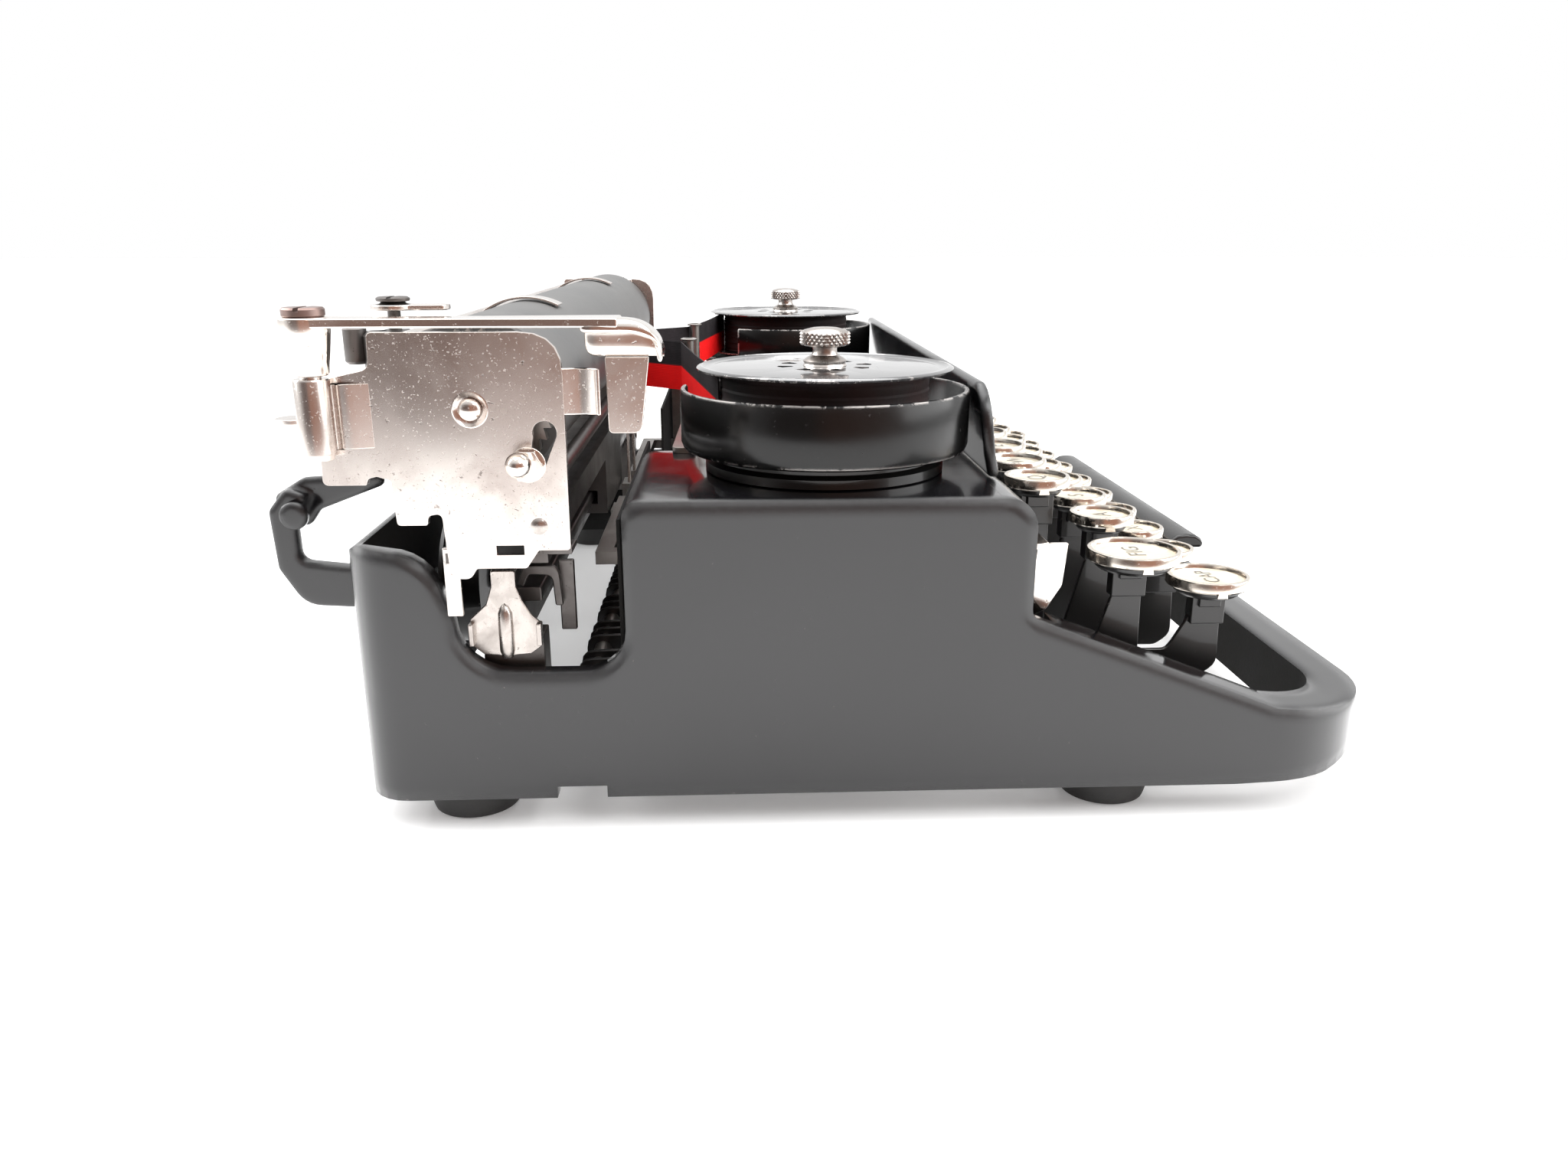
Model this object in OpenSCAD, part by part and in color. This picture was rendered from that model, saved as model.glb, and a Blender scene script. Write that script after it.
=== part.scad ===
// Small three-bank portable typewriter, in millimetres.
// X runs to the right of the typist, Y to the rear, Z up from the table.

/* [Body] */
// Width of the cast body
body_w = 248; // [236:1:300]
// Depth of the cast body, nose to rear wall
body_d = 212; // [204:1:260]
// Height of the body's lower edge above the table
base_z = 7; // [5:0.5:9]
// Height of the side ledges above the table
ledge_z = 68; // [66:0.5:72]
// Thickness of the cast walls
wall = 4; // [3:0.5:5]
// Width of the bar that loops round the keyboard
loop_w = 10; // [8:0.5:12]
// Plan radius of the two nose corners
nose_r = 26; // [22:1:32]
// Diameter of the rubber feet
foot_d = 20; // [16:1:24]

/* [Keyboard] */
// Spacing of the keys along a row
key_pitch = 19.8; // [19:0.1:21]
// Outer diameter of a character key's ring
key_d = 14.2; // [13:0.1:14.6]
// Outer diameter of the two shift keys' rings
shift_d = [19, 17.4];
// Height of a key's ring
ring_h = 2.4; // [2:0.1:3]
// Height of the top face of the front row of keys
front_row_z = 47.5; // [46:0.5:50]
// Rise from one row of keys to the next
row_rise = 9.5; // [9:0.5:10]
// Distance from one row of keys to the next
row_pitch = 16.5; // [16:0.1:18]
// Thickness of the key levers
lever_t = 1.2; // [1:0.1:1.6]
// Diameter of the rod that the key levers turn on
key_rod_d = 4; // [3:0.5:5]
// Length of the space bar
space_l = 112; // [90:1:120]

/* [Carriage] */
// Diameter of the rubber platen
platen_d = 31; // [28:0.5:32]
// Distance between the inner faces of the carriage's end plates
carriage_w = 252; // [250:1:300]
// Height of the platen's axis above the table
platen_z = 86; // [84:0.5:90]
// Thickness of the end plates
plate_t = 1.6; // [1.2:0.1:2.4]
// Diameter of the platen knob
knob_d = 28; // [22:1:34]
// Length of the return lever from its pivot to its front end
return_l = 61.8; // [56:0.2:66]

/* [Ribbon] */
// Diameter of the spool flanges
spool_d = 54; // [44:1:56]
// Diameter of the ribbon wound on a spool
pack_d = 44; // [30:1:46]
// Width of the ribbon
ribbon_w = 12.6; // [10:0.1:13]
// Outer diameter of the spool cups
cup_d = 61; // [59:1:64]
// Wall of the spool cups
cup_t = 1.2; // [1:0.1:2]

/* [Hidden] */
$fn = 48;
gap = 0.4;          // room between pieces that move past each other
run = 0.05;         // radial play of a shaft in its bore
x_max = body_w / 2;
rear_y = body_d / 2;
nose_y = -rear_y;
ledge_front_y = nose_y + 78.7;
well_y = rear_y - 53.7;          // front wall of the carriage cut-outs
rear_wall_z = ledge_z - 8.5;
shelf_t = 3.5;
notch_w = 10;
notch_h = 2.5;

platen_y = rear_y - 28;
platen_r = platen_d / 2;
plate_x = carriage_w / 2;
plate_out = plate_x + plate_t;
platen_l = carriage_w - 6;
axle_r = 3;
travel = 85;                     // carriage travel each way

lever_x = -(plate_out + 2.9);    // return lever pivot
lever_y = platen_y + 26.3;
lever_z = platen_z + 14.6;       // underside of the return lever's bar
lever_bar_t = 1.9;
barrel_r = 3.1;

finger_a = 50;                   // angle of the paper finger rod round the platen
table_end_a = finger_a - 12;
finger_y = platen_y + (platen_r + 1.2) * cos(finger_a);
finger_z = platen_z + (platen_r + 1.2) * sin(finger_a);
roller_y = platen_y + 6.2;
roller_z = platen_z - platen_r - 1.9;
release_x = -plate_x + 8;
release_y = platen_y + 14.4;
release_z = platen_z + 16.9;
tab_y = platen_y + 22;
tab_z = platen_z - 3.6;

spool_x = x_max - 33;
spool_y = nose_y + 117.5;
cup_z = ledge_z + 4.5;
post_r = 2.4;
flange_t = 0.8;
lower_flange_z = cup_z + 3;
pack_z = lower_flange_z + flange_t;
upper_flange_z = pack_z + ribbon_w + 0.2;
nut_r = 5.25;
strand_t = 0.4;
guide_x = 26;
guide_y = well_y - 8;
print_y = platen_y - platen_r;   // front of the platen
// the ribbon crosses the cup's wall at this angle on its way to the guide post
guide_v = [spool_x - guide_x, guide_y - spool_y];
slot_a = atan2(guide_v.y, guide_v.x) + acos(pack_d / 2 / norm(guide_v))
    - acos(pack_d / cup_d) + 2.6;

seg_y = print_y + 0.5 - 0.9;     // centre of the type bar fan
bar_root_r = 18;
foot_x = x_max - 13.5;
foot_y = [nose_y + 57.5, rear_y - 19.5];
seg_back = 3;                    // segment ends this far behind the fan's centre
bar_z = 40;
bar_count = 27;
bar_step = 4.6;
bar_t = 0.8;
strike_z = platen_z;
bar_l = sqrt(pow(strike_z - bar_z, 2) + pow(bar_root_r - 2.5, 2));
bar_rise = 22;                   // slope of a resting type bar, degrees

key_rod_y = well_y + 8;
key_rod_z = 28;
lever_h = 7;
row_y = [nose_y + 71.5, nose_y + 71.5 - row_pitch, nose_y + 71.5 - 2 * row_pitch];
row_z = [front_row_z + 2 * row_rise, front_row_z + row_rise, front_row_z];
quarter = key_pitch / 4;
first_x = -4.5 * key_pitch - quarter + 0.55;
stem_w = 7.3;
stem_t = 3.6;
shift_pos = [[first_x - 3.5 * quarter, row_y[1], row_z[1] - 2.5],
             [first_x - 2 * quarter + 0.4, row_y[2] - 3, row_z[2] - 1]];
shift_plane = [first_x - 3 * quarter, first_x - 2 * quarter];
space_y = row_y[2] - 17;
space_z = row_z[2] - 8;

rail_y = print_y + 11.5;
rail_z = 45;
clip_y = rail_y + 1;
clip_z = rail_z - 9;
bed_z = 57;
tooth_n = 12;
tooth_m = 1;
rack_y = platen_y + 5.5;
rack_w = 2.6;
pinion_z = bed_z - 3 - tooth_m * tooth_n / 2 - 1.6;
drum_x = -70;
drum_z = 38;
drum_r = 15;
wheel_y = rack_y + rack_w + 1.5;

left_reach = plate_out + 6.9;
right_reach = plate_out + 22;
rear_reach = rear_y + 18.4;
place_x = (left_reach - right_reach) / 2;
place_y = -(rear_reach + nose_y) / 2;

KEY_NAMES = ["q", "w", "e", "r", "t", "y", "u", "i", "o", "p",
             "a", "s", "d", "f", "g", "h", "j", "k", "l", "backspace",
             "z", "x", "c", "v", "b", "n", "m", "comma", "period"];

// ---- helpers ----------------------------------------------------------

function arc(c, r, a0, a1, n = 8) =
    [for (i = [0:n]) let (a = a0 + (a1 - a0) * i / n) c + r * [cos(a), sin(a)]];

// Whole part, moved so that the origin is under the middle of its box
module place() translate([place_x, place_y, 0]) children();

// A side-view outline of [y, z] points, between two X planes
module side(x0, x1) translate([x0, 0, 0]) rotate([90, 0, 90])
    linear_extrude(x1 - x0) children();

module rod_x(x0, x1, y, z, r) translate([x0, y, z]) rotate([0, 90, 0]) cylinder(h = x1 - x0, r = r);
module rod_y(y0, y1, x, z, r) translate([x, y1, z]) rotate([90, 0, 0]) cylinder(h = y1 - y0, r = r);
module box(lo, hi) translate(lo) cube(hi - lo);
module both_sides() { children(); mirror([1, 0, 0]) children(); }

// ---- body ---------------------------------------------------------------

module plan_outline(inset, r_nose, r_rear) {
    x = x_max - inset;
    polygon(concat(
        arc([x - r_nose, nose_y + inset + r_nose], r_nose, -90, 0, 12),
        arc([x - r_rear, rear_y - inset - r_rear], r_rear, 0, 90, 6),
        arc([-x + r_rear, rear_y - inset - r_rear], r_rear, 90, 180, 6),
        arc([-x + r_nose, nose_y + inset + r_nose], r_nose, 180, 270, 12)));
}

// Outline of the body seen from the side
module body_profile() {
    slope = 20.6;
    crest_y = nose_y + 27;
    crest_z = 43.2 - (ledge_front_y - crest_y) * tan(slope);
    bowl_z = ledge_z - 34;
    polygon(concat(
        [[nose_y, base_z + 3.5], [nose_y + 14, base_z + 0.9], [nose_y + 34, base_z],
         [rear_y, base_z]],
        arc([rear_y - 4, rear_wall_z - 4], 4, 0, 90, 4),
        arc([well_y + 45, rear_wall_z - 11.3], 10.5, 92, 168, 6),
        arc([well_y + 22.5, bowl_z + 10.5], 10.5, 0, -90, 6),
        arc([well_y + 8.5, bowl_z + 8.5], 8.5, 270, 180, 6),
        arc([well_y - 3, ledge_z - 3], 3, 0, 90, 4),
        arc([ledge_front_y + 6, ledge_z - 6], 6, 90, 180, 6),
        arc([ledge_front_y - 2.5, 45.6], 2.5, 0, -68, 4),
        [[crest_y, crest_z], [nose_y + 12, crest_z - 1.6], [nose_y, crest_z - 2]]));
}

// The fan-shaped opening over the type bars
module fan_opening() {
    union() {
        intersection() {
            translate([0, seg_y]) circle(r = bar_root_r + bar_l * cos(bar_rise) + 6);
            translate([-70, seg_y - 90]) square([140, 90]);
        }
        translate([-70, well_y - 14]) square([140, 40]);
    }
}

module body_frame() color([0.06, 0.06, 0.065]) {
    difference() {
        intersection() {
            linear_extrude(120) plan_outline(0, nose_r, 9);
            side(-x_max - 1, x_max + 1) body_profile();
        }
        // hollow under the ledges and round the carriage well
        translate([0, 0, -1]) linear_extrude(ledge_z - shelf_t + 1) intersection() {
            plan_outline(wall, nose_r - wall, 5);
            translate([-x_max, ledge_front_y - 5]) square([body_w, body_d]);
        }
        // the open loop round the keyboard
        translate([0, 0, -1]) linear_extrude(ledge_z - shelf_t + 1) intersection() {
            plan_outline(loop_w, nose_r - loop_w, 5);
            translate([-x_max, nose_y]) square([body_w, ledge_front_y - nose_y]);
        }
        // open top between the two end walls of the carriage well
        box([-x_max + wall, well_y, ledge_z - 40], [x_max - wall, rear_y - wall, ledge_z + 10]);
        // opening over the type bars
        translate([0, 0, ledge_z - 10]) linear_extrude(20) fan_opening();
        // shelf stops behind the first row of keys
        box([-x_max + 21, nose_y, ledge_z - 22], [x_max - 21, ledge_front_y + 3.3, ledge_z + 1]);
        // arch notches in the lower edge
        both_sides() box([x_max - wall - 6, well_y + 5, base_z - 1],
                         [x_max + 1, well_y + 5 + notch_w, base_z + notch_h]);
    }
    // studs that carry the escapement wheel and the spring drum
    rod_y(rack_y, rear_y - wall, 0, pinion_z, 1.5);
    rod_y(wheel_y, rear_y - wall, drum_x, drum_z, 2.5);
    // bosses over the feet
    for (s = [-1, 1], y = foot_y)
        box([s * foot_x - 11, y - 9, base_z], [s * foot_x + 11, y + 9, base_z + 4]);
}

module front_panel() color([0.07, 0.07, 0.075]) {
    half = x_max - 20;
    top = [ledge_front_y + 5.7, ledge_z + 18.8];
    front = [top, [ledge_front_y + 5.3, ledge_z + 14], [ledge_front_y + 4.9, ledge_z + 10],
             [ledge_front_y + 4.3, ledge_z + 5], [ledge_front_y + 3.4, ledge_z + 1],
             [ledge_front_y + 3.4, ledge_z]];
    back = [for (i = [5:-1:0]) front[i] + [2.4, 0]];
    intersection() {
        side(-half, half) polygon(concat(front, back));
        translate([0, 0, ledge_z - 1]) rotate([90, 0, 0]) translate([0, 0, -200])
            linear_extrude(400) polygon(concat([[-half, 0], [half, 0]],
                arc([half - 9, 11], 9, 0, 90, 6), arc([-half + 9, 11], 9, 90, 180, 6)));
    }
}

module feet() color([0.05, 0.05, 0.05])
    for (s = [-1, 1], y = foot_y) translate([s * foot_x, y, 0])
        cylinder(h = base_z, r1 = foot_d / 2 - 0.8, r2 = foot_d / 2);

// Bent arm on the rear wall, with its pivot screw
module rear_bracket() color([0.08, 0.08, 0.08]) {
    x = -x_max + 20;
    side(x - 3, x + 3) polygon([
        [rear_y, 42], [rear_y + 14, 43], [rear_y + 18, 50], [rear_y + 18.4, 64],
        [rear_y + 12, 69], [rear_y - 4, 70.2], [rear_y - 4, 67], [rear_y + 10, 62],
        [rear_y + 14, 60], [rear_y + 13.5, 52], [rear_y, 51]]);
    rod_x(x - 6.5, x - 3, rear_y + 14.6, 61.5, 3.4);
}

// ---- ribbon -------------------------------------------------------------

module cup() {
    slot = 26;
    difference() {
        cylinder(h = 12.8, r = cup_d / 2);
        translate([0, 0, cup_t]) cylinder(h = 20, r = cup_d / 2 - cup_t);
        cylinder(h = 8, r = post_r + 0.8, center = true);
        // side opening that the ribbon leaves by
        rotate([0, 0, slot_a]) box([0, -slot / 2, cup_t + 0.6], [cup_d, slot / 2, 20]);
    }
    translate([0, 0, -4.5]) difference() {
        cylinder(h = 4.5, r = cup_d / 2 - 5);
        translate([0, 0, -1]) cylinder(h = 8, r = post_r + 0.8);
    }
}

module ribbon_cups() color([0.06, 0.06, 0.065])
    both_sides() translate([-spool_x, spool_y, cup_z]) cup();

// Post, with the knurled nut that keeps the spool on it
module spool_posts() color([0.7, 0.69, 0.67]) both_sides()
    translate([-spool_x, spool_y, 0]) {
        translate([0, 0, ledge_z]) cylinder(h = upper_flange_z + 2 - ledge_z, r = post_r);
        translate([0, 0, upper_flange_z + flange_t + gap]) {
            cylinder(h = 1.2, r1 = 4.6, r2 = 3.6);
            cylinder(h = 4.2, r = 2.6);
            translate([0, 0, 3.6]) cylinder(h = 2.8, r = nut_r);
            translate([0, 0, 6.4]) cylinder(h = 0.9, r1 = nut_r, r2 = nut_r - 2.4);
        }
    }

module spool() color([0.1, 0.1, 0.1]) difference() {
    union() {
        translate([0, 0, lower_flange_z]) cylinder(h = flange_t, r = spool_d / 2);
        translate([0, 0, pack_z]) cylinder(h = ribbon_w + 0.2, r = pack_d / 2);
        translate([0, 0, upper_flange_z]) cylinder(h = flange_t, r = spool_d / 2);
    }
    cylinder(h = 200, r = post_r + run);
}
module left_spool() translate([-spool_x, spool_y, 0]) spool();
module right_spool() translate([spool_x, spool_y, 0]) spool();

// Ribbon from each spool, round its guide post, to the vibrator
module ribbon_strands() {
    spool_c = [-spool_x, spool_y];
    post = [-guide_x, guide_y];
    d = post - spool_c;
    dist = norm(d);
    heading = atan2(d[1], d[0]);
    off_r = pack_d / 2 + gap + strand_t / 2;
    lean = acos(off_r / dist);
    start = spool_c + off_r * [cos(heading + lean), sin(heading + lean)];
    finish = [-10.6, print_y - 0.9];
    z = pack_z + 0.1;
    color([0.35, 0.03, 0.03]) both_sides() translate([0, 0, z]) linear_extrude(ribbon_w)
        for (s = [[start, post], [post, finish]]) {
            a = s[0];
            b = s[1];
            n = strand_t / 2 * [-(b - a)[1], (b - a)[0]] / norm(b - a);
            polygon([a + n, b + n, b - n, a - n]);
        }
    // guide posts, standing on arms from the shelf
    color([0.7, 0.69, 0.67]) both_sides() {
        translate([-guide_x, guide_y - 2, ledge_z]) cylinder(h = pack_z + ribbon_w + 1 - ledge_z, r = 1.4);
        box([-74, guide_y - 5, ledge_z], [-guide_x + 2.5, guide_y + 1, ledge_z + 1.5]);
    }
}

module ribbon_vibrator() color([0.72, 0.7, 0.68]) {
    y1 = print_y - 1.3;
    z = pack_z - 1;
    top = pack_z + ribbon_w + 0.8;
    difference() {
        box([-10, y1 - 0.8, z], [10, y1, top]);
        box([-5.5, y1 - 2, z - 1], [5.5, y1 + 1, top + 1]);
    }
    // ribbon between the guides
    box([-9.8, y1 + 0.02, pack_z + 0.1], [9.8, y1 + 0.02 + strand_t, pack_z + 0.1 + ribbon_w]);
    both_sides() box([-10, y1 - 0.8, 48], [-7.6, y1, z]);
}

// ---- type basket ----------------------------------------------------------

// One type bar lying in the plane x = 0, pivot at the origin, type head forward
module bar_shape() {
    side(-bar_t / 2, bar_t / 2) rotate(180 - bar_rise) difference() {
        union() {
            translate([0, -1.6]) square([bar_l - 4, 3.2]);
            circle(r = 2.6);
        }
        circle(r = 0.9);
    }
    rotate([-bar_rise, 0, 0]) box([-1.7, -bar_l + 1.6, -3.5], [1.7, -bar_l + 5, 3.5]);
}

module type_basket() color([0.5, 0.49, 0.47]) {
    span = (bar_count - 1) / 2 * bar_step;
    difference() {
        intersection() {
            translate([0, seg_y, bar_z - 4]) cylinder(h = 7, r = bar_root_r + 5);
            translate([-40, seg_y - 40, 0]) cube([80, 40 + seg_back, 80]);
        }
        translate([0, seg_y, 0]) cylinder(h = 100, r = bar_root_r - 5);
        box([-0.8, seg_y - 40, bar_z - 5], [0.8, seg_y, bar_z + 10]);
    }
    for (i = [1:(bar_count - 1) / 2], s = [-1, 1])
        translate([0, seg_y, bar_z]) rotate([0, 0, s * i * bar_step])
            translate([0, -bar_root_r, 0]) bar_shape();
    rod_x(-4, 4, seg_y - bar_root_r, bar_z, 0.8);
    // hangers up to the shelf on each side
    both_sides() {
        box([-bar_root_r - 5, seg_y - 4, bar_z - 4], [-bar_root_r, seg_y + 1, bar_z + 6]);
        box([-78, seg_y - 3, bar_z + 3], [-bar_root_r, seg_y + 1, bar_z + 6]);
        box([-78, well_y - 4, bar_z + 3], [-74, seg_y + 1, bar_z + 6]);
        box([-78, well_y - 4, bar_z + 3], [-74, well_y, ledge_z - shelf_t]);
    }
}

module type_bar() color([0.6, 0.59, 0.57])
    translate([0, seg_y - bar_root_r, bar_z]) bar_shape();

// ---- carriage -------------------------------------------------------------

// Rail on two end feet, with the clip plates that close its ends
module carriage_rail() color([0.62, 0.6, 0.58]) {
    box([-112, rail_y - 5, rail_z], [112, rail_y + 5, rail_z + 3]);
    box([-112, rail_y - 1.5, rail_z - 8], [112, rail_y + 1.5, rail_z]);
    both_sides() {
        box([-x_max + wall, rail_y - 6, 20], [-112, rail_y + 6, rail_z - 5]);
        side(-x_max + wall + 0.2, -x_max + wall + 1.4) polygon([
            [clip_y - 7, clip_z + 2.4], [clip_y, clip_z], [clip_y + 7, clip_z + 2.4], [clip_y + 7, clip_z + 8],
            [clip_y + 3, clip_z + 12], [clip_y + 2.4, clip_z + 18], [clip_y - 2.4, clip_z + 18],
            [clip_y - 3, clip_z + 12], [clip_y - 7, clip_z + 8]]);
        box([-x_max + wall, clip_y - 2, clip_z + 1], [-x_max + wall + 1.4, clip_y + 2, clip_z + 8]);
    }
}

// Sheet bed between the end plates, with its shoe, its rack and its hinge rod
module carriage_bed() color([0.6, 0.58, 0.56]) {
    box([-plate_x, print_y + 3.5, bed_z], [plate_x, platen_y + 7, bed_z + 2]);
    box([-plate_x, print_y + 3.5, bed_z], [plate_x, print_y + 5, bed_z + 6]);
    difference() {
        box([-22, rail_y - 8, rail_z - 3], [22, rail_y + 8, bed_z]);
        box([-30, rail_y - 5 - gap, rail_z - gap], [30, rail_y + 5 + gap, rail_z + 3 + gap]);
        box([-30, rail_y - 1.5 - gap, rail_z - 9], [30, rail_y + 1.5 + gap, rail_z]);
    }
    rod_x(-plate_x, plate_x, print_y + 2.5, platen_z - 14, 1.6);
    rack();
}

module rack() {
    pitch = PI * tooth_m;
    n = floor(2 * (travel + 8) / pitch / 2) * 2;
    half = n * pitch / 2;
    teeth = [for (i = [0:n - 1]) let (x = -half + (i + 0.5) * pitch)
        each [[x - pitch * 0.36, 0], [x - pitch * 0.11, -2], [x + pitch * 0.11, -2],
              [x + pitch * 0.36, 0]]];
    translate([0, rack_y + rack_w, bed_z - 3]) rotate([90, 0, 0]) linear_extrude(rack_w)
        polygon(concat([[-half, 0]], teeth, [[half, 0], [half, 3], [-half, 3]]));
}

// Outline of an end plate seen from the side
module plate_outline() {
    p = [platen_y, platen_z];
    front = p[0] - 16.6;
    polygon(concat(
        arc([front + 9, p[1] + 4.4], 9, 180, 90, 6),
        [[p[0] + 17, p[1] + 13.4], [p[0] + 17, p[1] + 6], [p[0] + 25.5, p[1] + 4],
         [p[0] + 27, p[1] - 8], [p[0] + 27.5, p[1] - 13.5], [p[0] + 18.6, p[1] - 13],
         [p[0] + 15, p[1] - 13], [p[0] + 14.7, p[1] - 21.1], [p[0] + 9, p[1] - 21.1],
         [p[0] + 8.2, p[1] - 19.4], [p[0] + 7, p[1] - 21], [p[0] + 6, p[1] - 29],
         [p[0] + 4.4, p[1] - 31.5], [p[0] + 2.4, p[1] - 31.4], [p[0] + 1, p[1] - 29.6],
         [p[0] - 8.5, p[1] - 29.6], [p[0] - 10.7, p[1] - 26], [front + 0.8, p[1] - 26]]));
}

module end_plate() {
    difference() {
        side(-plate_out, -plate_x) plate_outline();
        rod_x(-plate_out - 1, -plate_x + 1, platen_y, platen_z, axle_r + run);
    }
    // inward flange along the top edge
    box([-plate_x, platen_y - 10, platen_z + 12.2],
        [-platen_l / 2 - gap, finger_y - 1.7, platen_z + 13.4]);
}

// Left end plate with the barrel that the return lever turns on
module left_end_plate() color([0.78, 0.75, 0.72]) {
    end_plate();
    translate([lever_x, lever_y, platen_z - 7]) cylinder(h = 13, r = barrel_r);
    translate([lever_x, lever_y, platen_z + 6]) cylinder(h = lever_z + lever_bar_t - 0.2 - platen_z - 6, r = 1.8);
    box([lever_x, lever_y - 2.4, platen_z - 7], [-plate_x, lever_y - 1.2, platen_z + 4]);
    // front tab
    box([-plate_out, platen_y - 23.4, platen_z - 1.4], [-plate_x, platen_y - 16, platen_z + 7.2]);
    // hexagon nut and ball-ended stud of the feed pressure rod
    translate([-plate_out, platen_y - 10, platen_z - 10]) rotate([0, -90, 0]) {
        cylinder(h = 2.4, r = 3, $fn = 6);
        cylinder(h = 5, r = 1.9);
        translate([0, 0, 5]) sphere(r = 2.1);
    }
    rod_x(-plate_out - 0.6, -plate_out, platen_y - 11, platen_z - 21.6, 1.7);
    // flat-headed screw that the paper release turns on
    translate([release_x, release_y, platen_z + 12.2]) cylinder(h = release_z + 1.5 - platen_z - 12.2, r = 1.2);
    translate([release_x, release_y, release_z + 1.4]) cylinder(h = 1, r = 3.2);
    box([-plate_x, release_y - 2, platen_z + 12.2], [release_x + 2, release_y + 2, platen_z + 13.4]);
    // stub that the spacing tab turns on, and its bracket
    box([-plate_x, tab_y - 2, tab_z - 1.6], [release_x + 2, tab_y + 2, tab_z - gap]);
    translate([release_x, tab_y, tab_z - 1]) cylinder(h = 2.4, r = 1);
}

module right_end_plate() color([0.78, 0.75, 0.72]) mirror([1, 0, 0]) {
    end_plate();
    rod_x(-plate_out - 0.6, -plate_out, platen_y - 11, platen_z - 21.6, 1.7);
}

// Curved sheet that leads the paper round the back of the platen
module paper_table() color([0.08, 0.08, 0.085]) {
    r = platen_r + 2.2;
    c = [platen_y, platen_z];
    side(-plate_x + 4.5, plate_x - 4.5) polygon(concat(
        arc(c, r, -45, table_end_a, 14), arc(c, r + 1.2, table_end_a, -45, 14)));
    both_sides() box([-plate_x, platen_y + 14, platen_z - 14],
                     [-plate_x + 4.5, platen_y + 15.2, platen_z - 8]);
}

module platen() color([0.1, 0.1, 0.1]) difference() {
    rod_x(-platen_l / 2 + 5, platen_l / 2, platen_y, platen_z, platen_r);
    rod_x(-plate_x, plate_x, platen_y, platen_z, axle_r);
}

// Axle, line-space ratchet and knob, fixed together
module platen_axle() {
    color([0.7, 0.69, 0.67]) {
        rod_x(-plate_out - 1.4, plate_out + 6, platen_y, platen_z, axle_r);
        translate([-platen_l / 2, platen_y, platen_z]) rotate([90, 0, 90]) difference() {
            linear_extrude(3) polygon([for (i = [0:59])
                let (r = i % 2 == 0 ? platen_r - 3 : platen_r - 1.4) r * [cos(6 * i), sin(6 * i)]]);
            translate([0, 0, -1]) cylinder(h = 5, r = axle_r);
        }
    }
    color([0.08, 0.08, 0.08]) difference() {
        union() {
            rod_x(plate_out + 2, plate_out + 6, platen_y, platen_z, 7);
            rod_x(plate_out + 6, plate_out + 22, platen_y, platen_z, knob_d / 2);
        }
        rod_x(plate_out, plate_out + 6, platen_y, platen_z, axle_r);
    }
}

module feed_roller() color([0.12, 0.12, 0.12]) {
    rod_x(-plate_x + 6, plate_x - 6, roller_y, roller_z, 1.6);
    for (x = [-80, -27, 27, 80]) rod_x(x - 14, x + 14, roller_y, roller_z, 2.6);
}

module return_lever() color([0.8, 0.77, 0.74]) {
    bore = 1.8 + run;
    front_y = lever_y - return_l;
    difference() {
        union() {
            translate([lever_x, lever_y, platen_z + 6 + gap])
                cylinder(h = lever_z - platen_z - 6 - gap, r1 = 3.2, r2 = 4.3);
            translate([lever_x, lever_y, lever_z]) cylinder(h = lever_bar_t, r = 4.3);
            box([lever_x - 3.4, front_y + 14, lever_z], [lever_x + 3.4, lever_y, lever_z + lever_bar_t]);
        }
        translate([lever_x, lever_y, 0]) cylinder(h = 200, r = bore);
    }
    // broad curled lip and its finger piece
    side(lever_x - 4, lever_x + 5) polygon(concat(
        [[front_y + 14.6, lever_z + lever_bar_t]],
        arc([front_y + 7, lever_z - 5.1], 7, 90, 180, 6),
        [[front_y, lever_z - 7], [front_y + lever_bar_t, lever_z - 7]],
        arc([front_y + 7, lever_z - 5.1], 7 - lever_bar_t, 180, 90, 6),
        [[front_y + 14.6, lever_z]]));
    side(lever_x + 3.5, lever_x + 4.9) polygon([
        [front_y + 1.6, lever_z - 6.8], [front_y + 3.4, lever_z - 7.2],
        [front_y + 5.2, lever_z - 19.4], [front_y + 10.2, lever_z - 19.4],
        [front_y + 11.4, lever_z - 7.2], [front_y + 14.2, lever_z - 6.8],
        [front_y + 14.2, lever_z + 0.6], [front_y + 6, lever_z + 0.6],
        [front_y + 1.6, lever_z - 4]]);
    // cap screw
    color([0.3, 0.24, 0.22]) translate([lever_x, lever_y, lever_z + lever_bar_t + 0.2])
        cylinder(h = 1.5, r = 3.7);
    color([0.3, 0.24, 0.22]) translate([lever_x, lever_y, lever_z + lever_bar_t])
        difference() {
            cylinder(h = 0.4, r = 3);
            cylinder(h = 1, r = bore, center = true);
        }
}

// Flat release lever, on its screw in the left end plate
module paper_release() color([0.7, 0.68, 0.66]) {
    difference() {
        union() {
            translate([release_x, release_y, release_z]) cylinder(h = 1, r = 4);
            box([release_x - 2, release_y - 10, release_z], [release_x + 2, release_y, release_z + 1]);
        }
        translate([release_x, release_y, release_z - 1]) cylinder(h = 4, r = 1.2 + run);
    }
}

// Rod with two paper fingers that swing against the platen
module paper_fingers() color([0.75, 0.73, 0.7]) {
    for (x = [-60, 60]) {
        side(x - 4, x + 4) polygon(concat(
            arc([platen_y, platen_z], platen_r + 0.5, finger_a, 118, 10),
            arc([platen_y, platen_z], platen_r + 1.1, 118, finger_a, 10)));
    }
    rod_x(-plate_x + gap, plate_x - gap, finger_y, finger_z, 0.9);
}

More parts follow.
